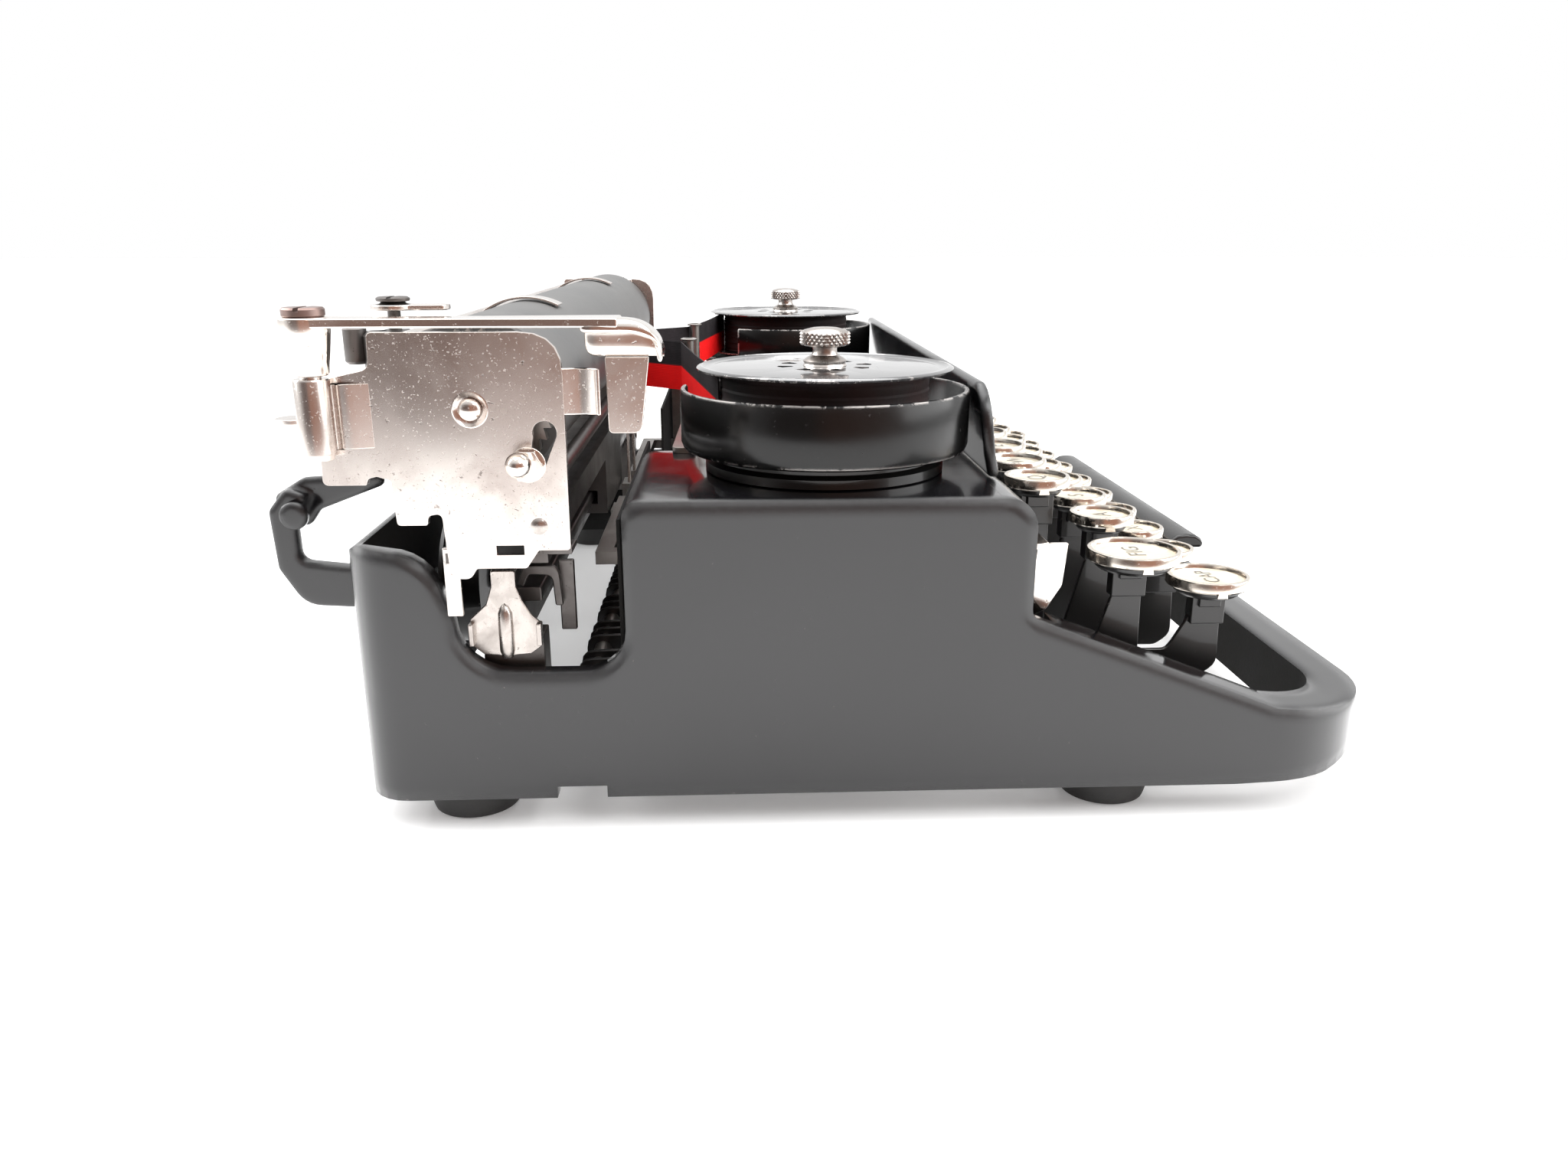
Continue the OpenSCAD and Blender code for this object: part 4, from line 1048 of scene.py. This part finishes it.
def build_keyboard():
    """Every key, the space bar, the lever rod and the shift lock."""
    letters = {"comma": ", ;", "period": ". :", "backspace": "BACK\nSPACE"}
    for node in frame["nodes"]:
        if not node.startswith("key_") or node == "key_rod":
            continue
        name = node[4:]
        text = letters.get(name, name.upper())
        build_key(node, text, 0.0, 2.1 if name == "backspace" else 5.4)
    build_key("shift_key_upper", "FIG", 2.48, 5.0)
    build_key("shift_key_lower", "CAP", -0.4, 4.6)
    build_space_bar()
    rod_mesh = bmesh.new()
    rod(rod_mesh, (0, ROD_Y, ROD_Z), 2, KEY_ROD_LO.x, KEY_ROD_HI.x)
    finish_piece("key_lever_rod", rod_mesh, [STEEL], "frame", ("key_rod",))
    # shift lock: curved bright tab on a thin arm
    low, high = local("shift_lock")
    mesh = bmesh.new()
    px = (low.x + high.x) / 2
    yf = LEDGE_FRONT_Y
    bow = ring_points(yf - 2, 66, 10.4, 254, 298, 8) + ring_points(yf - 2, 66, 9.2, 298, 254, 8)
    prism(mesh, bow, px - 4, px + 4)
    arm = rounded([(yf + 6, 38.3, 0.5), (yf + 6, 43.7, 0.5), (yf - 2.6, 47.6, 2), (yf - 3.2, 56, 0.3),
                   (yf - 9.6, 56, 0.3), (yf - 8.8, 47, 2), (yf - 5.8, 42, 2), (yf + 2, 38.3, 2)])
    prism(mesh, arm, px - 0.6, px + 0.6)
    finish_piece("shift_lock_tab", mesh, [NICKEL_BRIGHT], "shift_lock", ("shift_lock",), 0.3, 2)


# ---- carriage ----------------------------------------------------------------------

def plate_corners():
    """Outline of the left end plate, as (y, z, corner radius)."""
    y, z = PLATEN_Y, PLATEN_Z
    return [(y - 16.8, z + 13.6, 7.5), (y + 17, z + 13.6, 1), (y + 17.2, z + 7.2, 2),
            (y + 25.6, z + 5.4, 0.8),
            (y + 27.2, z - 8, 1), (y + 27.4, z - 13.6, 1.2), (y + 19.6, z - 13.6, 0.4), (y + 19.2,
                                                                                         z - 12.4, 0.8),
            (y + 17.6, z - 12.0, 0.6), (y + 15.2, z - 12.8, 0.6), (y + 14.8, z - 21.2, 0.8), (y + 9.3,
                                                                                              z - 21.2, 0.5),
            (y + 9.0, z - 19.4, 0.9), (y + 6.6, z - 19.0, 1.2), (y + 6.0, z - 29, 0.6), (y + 5.4,
                                                                                         z - 31.5, 1.8),
            (y + 2.2, z - 31.6, 1.8), (y + 1.0, z - 29.6, 0.8), (y - 8.3, z - 29.6, 0.8), (y - 10.7,
                                                                                           z - 26.2, 0.6),
            (y - 16.6, z - 26.2, 0.8)]


def end_plate(name, side, body, replaces, with_slots):
    """End plate of the carriage with its flange and rivet."""
    y, z = PLATEN_Y, PLATEN_Z
    mesh = bmesh.new()
    x0, x1 = sorted((side * PLATE_X, side * PLATE_OUT))
    prism(mesh, rounded(plate_corners(), 5), x0, x1)
    piece = finish_piece(name, mesh, [NICKEL], body, replaces, 0.7, 4)
    cutters = [cut_shape(lambda m: prism(m, ring_points(y, z, 3.02, steps=40), x0 - 1, x1 + 1))]
    if with_slots:
        tear = (ring_points(y - 13.0, z - 4.3, 2.2, -15, 195, 14)
                + ring_points(y - 11.4, z - 10.0, 1.5, 195, 345, 8))
        cutters.append(cut_shape(lambda m: prism(m, tear, x0 - 1, x1 + 1)))
        cutters.append(cut_shape(lambda m: prism(m, [(y - 8, z - 27.0), (y - 2.9, z - 27.0),
                                                     (y - 2.9, z - 25.2), (y - 8,
                                                                           z - 25.2)], x0 - 1, x1 + 1)))
    carve(piece, cutters)
    # flange bent inward along the top
    mesh = bmesh.new()
    inner = side * (PLATE_X - 2.4)
    lo, hi = sorted((inner, side * PLATE_X + side * 0.2))
    block(mesh, (lo, y - 9, z + 12.2), (hi, FINGER_Y - 1.8, z + 13.5))
    finish_piece(name + "_flange", mesh, [NICKEL], body, (), 0.4, 3)
    # rivet, flush in its hole
    mesh = bmesh.new()
    out = side * PLATE_OUT
    lathe(mesh, [(0, 0.55 * side), (1.0, 0.5 * side), (1.55, 0.15 * side), (1.65, -0.4 * side),
                 (0, -0.4 * side)],
          (out, y - 11, z - 21.6), "x", 28)
    finish_piece(name + "_rivet", mesh, [NICKEL_DARK], body)


def build_left_details():
    """Barrel, pressure stud, axle dome ring and front tab of the left end plate."""
    y, z = PLATEN_Y, PLATEN_Z
    mesh = bmesh.new()
    lathe(mesh, [(0, z - 8.2), (2.5, z - 8.2), (2.6, z - 7.2), (3.1, z - 7.0), (3.1, z + 5.6),
                 (2.9, z + 6.0),
                 (1.8, z + 6.0), (1.8, LEVER_Z + 1.6), (0, LEVER_Z + 1.6)], (LEVER_X, LEVER_Y, 0), "z", 40)
    finish_piece("lever_barrel", mesh, [NICKEL], "carriage")
    # sheet wrapped from the plate round the barrel
    cx, cy = LEVER_X, LEVER_Y
    outer = [(-PLATE_OUT, cy - 9.0), (-PLATE_OUT - 0.8, cy - 6.4), (-PLATE_OUT - 1.4, cy - 4.0)]
    outer += ring_points(cx, cy, 3.7, -60, 70, 10)
    inner = ring_points(cx, cy, 3.05, 70, -60, 10)
    inner += [(-PLATE_X + 0.2, cy - 5.2), (-PLATE_X + 0.2, cy - 9.0)]
    mesh = bmesh.new()
    prism(mesh, outer + inner, z - 6.8, z + 4.8, "z")
    finish_piece("barrel_wrap", mesh, [NICKEL], "carriage", (), 0.2, 2)
    # hexagon nut and ball-ended stud
    mesh = bmesh.new()
    ny, nz = y - 9.7, z - 10.0
    hexagon = ring_points(ny, nz, 3.1, steps=6)
    prism(mesh, hexagon, -PLATE_OUT - 2.3, -PLATE_OUT)
    lathe(mesh, [(0, 0), (3.0, 0), (3.3, -0.2), (3.3, -0.5), (0, -0.5)], (-PLATE_OUT, ny, nz), "x", 32)
    finish_piece("pressure_nut", mesh, [NICKEL_BRIGHT], "carriage", (), 0.35, 2)
    mesh = bmesh.new()
    ball = [(r_, -PLATE_OUT - 4.7 + 2.35 * math.cos(math.radians(a))) for r_, a in
            ((2.35 * math.sin(math.radians(a)), a) for a in range(180, 29, -15))]
    lathe(mesh, ball + [(1.5, -PLATE_OUT - 2.0), (0, -PLATE_OUT - 2.0)], (0, ny + 0.9, nz + 0.7), "x", 32)
    finish_piece("pressure_stud", mesh, [NICKEL_BRIGHT], "carriage")
    # dished ring round the axle's end
    mesh = bmesh.new()
    lathe(mesh, [(2.95, 0.9), (3.3, 0.9), (3.3, -0.02), (3.1, -0.08), (2.6, 0.3), (2.2, 0.35), (2.2, 0.9)],
          (-PLATE_OUT, y, z), "x", 40)
    finish_piece("axle_ring", mesh, [NICKEL], "carriage")
    # front tab, bent outward at its front edge
    mesh = bmesh.new()
    plan = [(-PLATE_X, y - 16.0), (-PLATE_OUT + 0.2, y - 16.0), (-PLATE_OUT + 0.5, y - 17.6),
            (-PLATE_OUT + 0.9, y - 19.0),
            (-PLATE_OUT + 0.9, y - 20.6), (-PLATE_OUT + 0.3, y - 22.0), (-PLATE_OUT - 0.5,
                                                                         y - 22.9), (-PLATE_OUT - 0.2,
                                                                                     y - 23.5),
            (-PLATE_X - 0.6, y - 22.4), (-PLATE_X - 0.1, y - 21.0), (-PLATE_X, y - 19.6)]
    prism(mesh, plan, z - 1.2, z + 7.2, "z")
    finish_piece("front_tab", mesh, [NICKEL], "carriage", (), 0.35, 3)
    # bent foot at the lower front corner
    mesh = bmesh.new()
    block(mesh, (-PLATE_X - 0.2, y - 16.6, z - 27.4), (-PLATE_X + 7, y - 11.0, z - 26.2))
    finish_piece("plate_foot", mesh, [DARK_STEEL], "carriage", (), 0.3, 2)


def build_return_lever():
    """Tapered boss, flat bar, and the broad curled lip with its finger piece."""
    x, y, z = LEVER_X, LEVER_Y, LEVER_Z
    front = LEVER_LO.y
    mesh = bmesh.new()
    lathe(mesh, [(1.86, PLATEN_Z + 6.5), (3.1, PLATEN_Z + 6.5), (3.3, PLATEN_Z + 7.0), (4.2, z - 0.6),
                 (4.3, z + 1.0),
                 (4.2, z + 1.9), (1.86, z + 1.9)], (x, y, 0), "z", 44)
    plan = [(x - 4.0, y + 0.5), (x - 3.3, y - 6), (x - 3.1, y - 30), (x - 3.6, front + 16),
            (x - 4.0, front + 8),
            (x + 5.0, front + 8), (x + 4.6, front + 16), (x + 3.3, y - 30), (x + 3.3, y - 6), (x + 4.0,
                                                                                               y + 0.5)]
    prism(mesh, plan, z + 0.15, z + 1.8, "z")
    finish_piece("return_lever_bar", mesh, [NICKEL_BRIGHT], "return_lever", ("return_lever",),
                 0.35, 3)
    # lip: a curled band, rolled down at its front and at both sides
    mesh = bmesh.new()
    rows = []
    across = [(-4.0, -2.6), (-3.9, -1.2), (-3.2, -0.3), (-1.5, 0), (2.0, 0), (3.6, -0.3), (4.6, -1.2),
              (5.0, -3.2), (5.0, -7.4)]
    along = [(14.6, 0.0), (11, 0.1), (8, 0.0), (5.2, -0.3), (3.0, -1.2), (1.3, -2.8), (0.5, -4.6),
             (0.3, -6.8)]
    for depth, fall in along:
        row = []
        for a, b in across:
            set_back = 0.25 if b < -3 else 0
            curl = 0.35 * b if fall < -1 and b > -3 else 0
            row.append(mesh.verts.new((x + a, front + depth + set_back, z + 1.8 + min(b, fall) + curl)))
        rows.append(row)
    for a, b in zip(rows, rows[1:]):
        for k in range(len(across) - 1):
            mesh.faces.new((a[k], a[k + 1], b[k + 1], b[k]))
    lip = finish_piece("return_lever_lip", mesh, [NICKEL_BRIGHT], "return_lever", (), 0, 2, 60)
    thick = lip.modifiers.new("sheet", "SOLIDIFY")
    thick.thickness = 1.2 * MM
    thick.offset = -1
    smooth = lip.modifiers.new("smooth", "SUBSURF")
    smooth.levels = 2
    smooth.render_levels = 2
    # finger piece, hanging from the lip
    mesh = bmesh.new()
    shape = rounded([(front + 3.3, z - 5.5, 0.3), (front + 5.0, z - 19.2, 1.8),
                     (front + 11.0, z - 19.2, 1.0),
                     (front + 11.2, z - 5.5, 0.3)], 5)
    prism(mesh, shape, x + 3.75, x + 4.85)
    finish_piece("return_lever_finger_piece", mesh, [NICKEL], "return_lever", (), 0.4, 3)
    # browned cap screw
    mesh = bmesh.new()
    lathe(mesh, [(0, z + 1.9), (3.3, z + 1.9), (3.6, z + 2.2), (3.6, z + 3.2), (3.3, z + 3.55),
                 (0, z + 3.6)],
          (x, y, 0), "z", 36)
    cap = finish_piece("lever_cap_screw", mesh, [BRONZE], "return_lever")
    carve(cap, [cut_shape(lambda m: block(m, (x - 5, y - 0.45, z + 2.9), (x + 5, y + 0.45, z + 4.2)))])


def build_release():
    """Flat release lever, its screw, and the line-spacing tab behind the plate."""
    low, high = local("paper_release")
    x, y, z = (low.x + high.x) / 2, high.y - 4, low.z
    mesh = bmesh.new()
    plan = ring_points(x, y, 4, -55, 235, 16) + [(x - 2, y - 9.4), (x - 1.2, y - 10), (x + 1.2, y - 10),
                                                 (x + 2, y - 9.4)]
    prism(mesh, plan, z, z + 1, "z")
    finish_piece("release_lever", mesh, [NICKEL], "paper_release", ("paper_release",), 0.25, 2)
    mesh = bmesh.new()
    foot = PLATEN_Z + 12.4
    lathe(mesh, [(0, foot), (1.15, foot), (1.15, z + 0.4), (3.1, z + 0.4), (3.3, z + 0.6),
                 (3.3, z + 0.95), (2.4, z + 1.15), (2.1, z + 1.45),
                 (2.9, z + 1.6), (3.0, z + 1.8), (3.0, z + 2.1), (2.6, z + 2.35), (0, z + 2.4)], (x, y,
                                                                                                  0), "z",
                                                                                                  32)
    head = finish_piece("release_screw", mesh, [DARK_STEEL], "carriage")
    carve(head, [cut_shape(lambda m: block(m, (x - 4, y - 0.4, z + 2.05), (x + 4, y + 0.4, z + 3)))])
    mesh = bmesh.new()
    block(mesh, (-PLATE_X, y - 2.2, PLATEN_Z + 12.2), (x + 2.2, y + 2.2, PLATEN_Z + 13.4))
    low, high = local("spacing_tab")
    x, y, z = (low.x + high.x) / 2, low.y + 2.4, low.z
    block(mesh, (-PLATE_X, y - 2, z - 1.6), (x + 2, y + 2, z - 0.4))
    finish_piece("plate_brackets", mesh, [DARK_STEEL], "carriage", (), 0.25, 2)
    # two dark posts under the return lever
    post_x = -PLATE_X + 5.5
    mesh = bmesh.new()
    rod(mesh, (post_x, LEVER_Y - 5.2, 0), 2.1, PLATEN_Z + 7.5, PLATEN_Z + 14.2, "z", 24, 0.5)
    rod(mesh, (post_x, LEVER_Y - 9.2, 0), 2.6, PLATEN_Z + 5.5, PLATEN_Z + 13.4, "z", 24, 0.9)
    finish_piece("release_posts", mesh, [DARK_STEEL], "carriage")
    mesh = bmesh.new()
    rod(mesh, (x, y, 0), 1, z - 1, z + 1.4, "z")
    rod(mesh, (x, y, 0), 2, z + 1.05, z + 1.7, "z")
    finish_piece("tab_stub", mesh, [STEEL], "carriage")
    mesh = bmesh.new()
    plan = ring_points(x, high.y - 3.6, 3.6, -60, 240, 16) + [(x - 1.6, y), (x - 1.2, y - 2.2),
                                                              (x + 1.2, y - 2.2), (x + 1.6, y)]
    prism(mesh, plan, z, z + 1, "z")
    finish_piece("line_space_tab", mesh, [NICKEL], "spacing_tab", ("spacing_tab",), 0.25, 2)


def build_platen():
    """Rubber roller, axle with a domed end, ratchet, and the ribbed knob."""
    y, z = PLATEN_Y, PLATEN_Z
    mesh = bmesh.new()
    lathe(mesh, [(3.3, PLATEN_LO.x), (PLATEN_R - 0.5, PLATEN_LO.x), (PLATEN_R, PLATEN_LO.x + 0.5),
                 (PLATEN_R, PLATEN_HI.x - 0.5), (PLATEN_R - 0.5, PLATEN_HI.x), (3.3, PLATEN_HI.x)],
          (0, y, z), "x", 128)
    finish_piece("platen_roller", mesh, [RUBBER], "platen", ("platen",))
    low, high = local("platen_axle")
    mesh = bmesh.new()
    dome = [(2.1 * math.sin(math.radians(a)), -PLATE_OUT - 0.2 - 1.1 * math.cos(math.radians(a)))
            for a in range(0, 91, 15)]
    lathe(mesh, dome + [(2.1, -PLATE_OUT + 1.0), (2.95, -PLATE_OUT + 1.0), (2.95, PLATE_OUT + 6),
                        (0, PLATE_OUT + 6)],
          (0, y, z), "x", 40)
    finish_piece("platen_spindle", mesh, [NICKEL], "platen", ("platen_axle",))
    mesh = bmesh.new()
    teeth = []
    for i in range(36):
        t = 2 * math.pi * i / 36
        for step, r in ((0.0, PLATEN_R - 2.9), (0.8, PLATEN_R - 1.5)):
            a = t + step * 2 * math.pi / 36
            teeth.append((y + r * math.cos(a), z + r * math.sin(a)))
    prism(mesh, teeth, low.x + 7.6, low.x + 10.2)
    finish_piece("line_space_ratchet", mesh, [STEEL], "platen")
    mesh = bmesh.new()
    r = (high.z - low.z) / 2
    x0 = PLATE_OUT + 6
    lathe(mesh, [(0, PLATE_OUT + 2.2), (6.4, PLATE_OUT + 2.2), (7, PLATE_OUT + 2.8), (7, x0), (r - 2, x0),
                 (r - 0.8, x0 + 0.6), (r - 0.5, x0 + 1.6), (r - 0.5, high.x - 2.6), (r - 1.2, high.x - 1.2),
                 (r - 3, high.x - 0.3), (4, high.x - 0.6), (0, high.x - 0.6)], (0, y, z), "x", 96)
    finish_piece("platen_knob", mesh, [SPACE_BLACK], "platen")
    places = []
    for k in range(44):
        t = 2 * math.pi * k / 44
        for row in range(9):
            out = Vector((0, math.cos(t), math.sin(t)))
            point = Vector((x0 + 2.6 + row * 1.25, y, z)) + out * (r - 0.45)
            places.append((point, out))
    repeated("knob_ribs", STUDS, places, SPACE_BLACK, "platen", "black_plastic", Radius=0.8, Height=0.5)


def build_carriage_parts():
    """Paper table, paper fingers, feed roller, and the hidden works in their own metals."""
    y, z = PLATEN_Y, PLATEN_Z
    mesh = bmesh.new()
    outer = ring_points(y, z, PLATEN_R + 3.3, -44, FINGER_A - 13, 28)
    inner = ring_points(y, z, PLATEN_R + 2.3, FINGER_A - 13, -44, 28)
    prism(mesh, outer + inner, -PLATE_X + 4.6, PLATE_X - 4.6)
    finish_piece("paper_apron", mesh, [BLACK_PANEL], "carriage", ("paper_table",), 0.25, 2)
    mesh = bmesh.new()
    low, high = local("paper_fingers")
    rod(mesh, (0, FINGER_Y, FINGER_Z), 0.85, low.x, high.x)
    for x in (-60, 60):
        band = ring_points(y, z, PLATEN_R + 0.5, FINGER_A, 117, 18) + ring_points(y, z, PLATEN_R + 1.0,
                                                                                  117, FINGER_A, 18)
        prism(mesh, band, x - 3.6, x + 3.6)
    finish_piece("paper_finger_rod", mesh, [NICKEL], "paper_fingers", ("paper_fingers",), 0.15, 2)
    mesh = bmesh.new()
    low, high = local("feed_roller")
    ry, rz = (low.y + high.y) / 2, (low.z + high.z) / 2
    rod(mesh, (0, ry, rz), 1.5, low.x, high.x)
    for x in (-80, -27, 27, 80):
        rod(mesh, (0, ry, rz), 2.6, x - 14, x + 14, slot=1)
    finish_piece("feed_roller_shaft", mesh, [STEEL, RUBBER], "feed_roller", ("feed_roller",))
    for node, material in (("carriage_bed", DARK_STEEL), ("type_basket", STEEL), ("type_bar", STEEL),
                           ("escapement_wheel", DARK_STEEL), ("spring_drum", BLACK_LEVER)):
        obj = frame["nodes"][node]
        obj.data.materials.clear()
        obj.data.materials.append(material)


def build_rail():
    """Rail, its end feet, and the bell-shaped bright clip at each end."""
    low, high = local("carriage_rail")
    y = (low.y + high.y) / 2
    mesh = bmesh.new()
    rail = rounded([(y - 5, RAIL_Z, 0.4), (y + 5, RAIL_Z, 0.4), (y + 5, RAIL_TOP_Z, 0.4),
                    (y - 5, RAIL_TOP_Z, 0.4)], 2)
    prism(mesh, rail, -RAIL_END_X, RAIL_END_X)
    block(mesh, (-RAIL_END_X, y - 1.5, RAIL_Z - 8), (RAIL_END_X, y + 1.5, RAIL_Z))
    for side in (-1, 1):
        lo, hi = sorted((side * (RAIL_END_X - 0.5), side * (X_MAX - 5.5)))
        block(mesh, (lo, y - 6, 20), (hi, y + 6, 40))
    finish_piece("rail_bar", mesh, [DARK_STEEL], "frame", ("carriage_rail",), 0.3, 2)
    for side, label in ((-1, "left"), (1, "right")):
        clip = bmesh.new()
        x = side * (X_MAX - 4.9)
        cy = y + 1
        outline = [(-2.4, 53.8), (2.4, 53.8), (2.4, 50.6), (3.6, 47.0), (6.9, 44.0), (7.0, 38.6),
                   (4.6, 36.6), (1.8, 36.4),
                   (0, 35.9), (-1.8, 36.4), (-4.6, 36.6), (-7.0, 38.4), (-6.9, 43.0), (-5.2, 44.6), (-3.4,
                                                                                                     47.8),
                   (-2.4, 50.6)]
        prism(clip, rounded([(cy + a, b, 0.6) for a, b in outline], 3), min(x, x + side * 0.9),
              max(x, x + side * 0.9))
        # rib down the middle, side ears and hooked top
        rib = bmesh.new()
        rings = []
        for zz, grow in ((36.1, 0.7), (37.5, 1.0), (42, 1.0), (45.2, 0.95), (46.6, 0.5), (47.2, 0.05)):
            rings.append([rib.verts.new((x + side * (0.85 + 1.25 * grow * math.sin(math.radians(t))),
                                         cy + 1.5 * grow * math.cos(math.radians(t)), zz))
                          for t in range(0, 181, 20)])
        for a, b in zip(rings, rings[1:]):
            for k in range(len(a) - 1):
                rib.faces.new((a[k], a[k + 1], b[k + 1], b[k]))
        finish_piece(f"{label}_rail_clip_rib", rib, [NICKEL_DARK], "frame", (), 0, 2, 60)
        for ear in (-1, 1):
            lo, hi = sorted((cy + ear * 6.1, cy + ear * 7.1))
            xs = sorted((x + side * 0.2, x + side * 2.6))
            block(clip, (xs[0], lo, 38.8), (xs[1], hi, 43.4))
        xs = sorted((x - side * 2.4, x + side * 0.4))
        block(clip, (xs[0], cy - 2.3, 53.0), (xs[1], cy + 2.3, 53.9))
        finish_piece(f"{label}_rail_clip", clip, [NICKEL_DARK], "frame", (), 0.25, 2)
    # dark hooked bracket and bar beside the clip, and the small bright tongue behind
    mesh = bmesh.new()
    x = -RAIL_END_X
    hook = rounded([(y - 1.6, 52.5, 1), (y - 8.6, 52.5, 2.4), (y - 9.2, 44, 0.5), (y - 7.6, 44, 0.5),
                    (y - 7.2, 50.4, 1.6),
                    (y - 2.6, 50.6, 1), (y - 1.4, 48, 0.5), (y - 0.2, 48.6, 0.5)])
    prism(mesh, hook, x, x + 1.6)
    block(mesh, (x + 2.5, y - 11.4, 38), (x + 3.7, y - 8.2, 53))
    finish_piece("hooked_bracket", mesh, [DARK_STEEL], "frame", (), 0.3, 2)
    mesh = bmesh.new()
    block(mesh, (-PLATE_X + 0.1, y + 7.6, 46.5), (-PLATE_X + 1.1, y + 10.6, 60))
    finish_piece("carriage_tongue", mesh, [NICKEL], "carriage", (), 0.3, 2)
    # black sheets behind the cup well: painted shade, a dark screen set where the inside of the body lies in
    # shade
    mesh = bmesh.new()
    for side in (-1, 1):
        lo, hi = sorted((side * 30, side * (X_MAX - 5)))
        block(mesh, (lo, WELL_Y + 0.7, 34), (hi, WELL_Y + 1.5, 63.5))
    finish_piece("trough_shade_sheet", mesh, [BLACK_INSIDE], "frame", (), 0.2, 2)


build_body()
build_bracket()
build_cups()
build_spool(-1, "left_spool")
build_spool(1, "right_spool")
build_nuts()
build_ribbon()
build_keyboard()
end_plate("left_plate", -1, "carriage", ("left_end_plate",), True)
end_plate("right_plate", 1, "carriage", ("right_end_plate",), False)
build_left_details()
build_return_lever()
build_release()
build_platen()
build_carriage_parts()
build_rail()


# ---- floor, light and camera --------------------------------------------------------

def build_stage():
    """Plain pale floor."""
    material, _, shader = new_material("pale_floor")
    shader.inputs["Base Color"].default_value = (0.86, 0.86, 0.86, 1)
    shader.inputs["Roughness"].default_value = 0.55
    shader.inputs["Emission Color"].default_value = (1, 1, 1, 1)
    shader.inputs["Emission Strength"].default_value = 0.2
    mesh = bmesh.new()
    profile = [(-560, -0.05), (0, -0.05), (6000, -0.05)]
    rows = [[mesh.verts.new((x, y, z)) for y in (-4000, 4000)] for x, z in profile]
    for a, b in zip(rows, rows[1:]):
        mesh.faces.new((a[0], b[0], b[1], a[1]))
    to_world(mesh)
    data = bpy.data.meshes.new("floor")
    mesh.to_mesh(data)
    mesh.free()
    data.materials.append(material)
    data.polygons.foreach_set("use_smooth", [True] * len(data.polygons))
    floor = add_object("floor", data)


def area_light(name, where, aim, size, energy, colour=(1, 1, 1)):
    """A rectangular soft light that faces a point."""
    data = bpy.data.lights.new(name, "AREA")
    data.shape = "RECTANGLE"
    data.size, data.size_y = size
    data.energy = energy
    data.color = colour
    lamp = add_object(name, data)
    lamp.location = world(where)
    lamp.rotation_euler = (Vector(aim) - Vector(where)).to_track_quat("-Z", "Y").to_euler()


def build_lights():
    """White surround, darker and warmer low on the near side, and four soft boxes."""
    sky = bpy.data.worlds.new("soft_white")
    sky.use_nodes = True
    tree = sky.node_tree
    background = tree.nodes["Background"]
    coords = tree.nodes.new("ShaderNodeTexCoord")
    split = tree.nodes.new("ShaderNodeSeparateXYZ")
    tree.links.new(coords.outputs["Generated"], split.inputs[0])
    behind = math_node(tree, "MULTIPLY", split.outputs["X"], -1.0)
    near_side = map_range(tree, behind, 0.25, 0.75)
    under = map_range(tree, split.outputs["Z"], 0.34, 0.72, 1.0, 0.0)
    shade = math_node(tree, "MULTIPLY", near_side, under, True)
    warm = map_range(tree, split.outputs["Y"], 0.02, 0.26, 1.0, 0.0)
    dusk = mix_colour(tree, warm, (0.17, 0.13, 0.12), (0.42, 0.22, 0.16))
    tone = mix_colour(tree, shade, (1.0, 1.0, 1.0), dusk)
    path = tree.nodes.new("ShaderNodeLightPath")
    seen = mix_colour(tree, path.outputs["Is Camera Ray"], tone, (1.0, 1.0, 1.0))
    tree.links.new(seen, background.inputs["Color"])
    background.inputs["Strength"].default_value = 1.0
    bpy.context.scene.world = sky
    area_light("overhead", (150, 100, 1100), (0, 0, 40), (1.4, 1.2), 16)
    area_light("rear_softbox", (200, 900, 600), (0, 0, 60), (1.0, 0.8), 9)
    area_light("front_softbox", (-150, -900, 500), (0, 0, 50), (1.0, 0.7), 7)
    area_light("near_fill", (-700, -500, 900), (-60, 0, 60), (0.6, 0.5), 5)


def build_camera():
    """Camera at the left side, a little above the carriage."""
    data = bpy.data.cameras.new("camera")
    data.sensor_width = 36
    data.lens = 26.543
    camera = add_object("camera", data)
    camera.location = world((-337, 31, 116))
    pitch, yaw = math.radians(17.0), math.radians(2.54)
    ahead = Vector((math.cos(pitch) * math.cos(yaw), -math.cos(pitch) * math.sin(yaw), -math.sin(pitch)))
    camera.rotation_euler = ahead.to_track_quat("-Z", "Y").to_euler()
    bpy.context.scene.camera = camera


build_stage()
build_lights()
build_camera()
bpy.context.scene.view_settings.view_transform = "Standard"
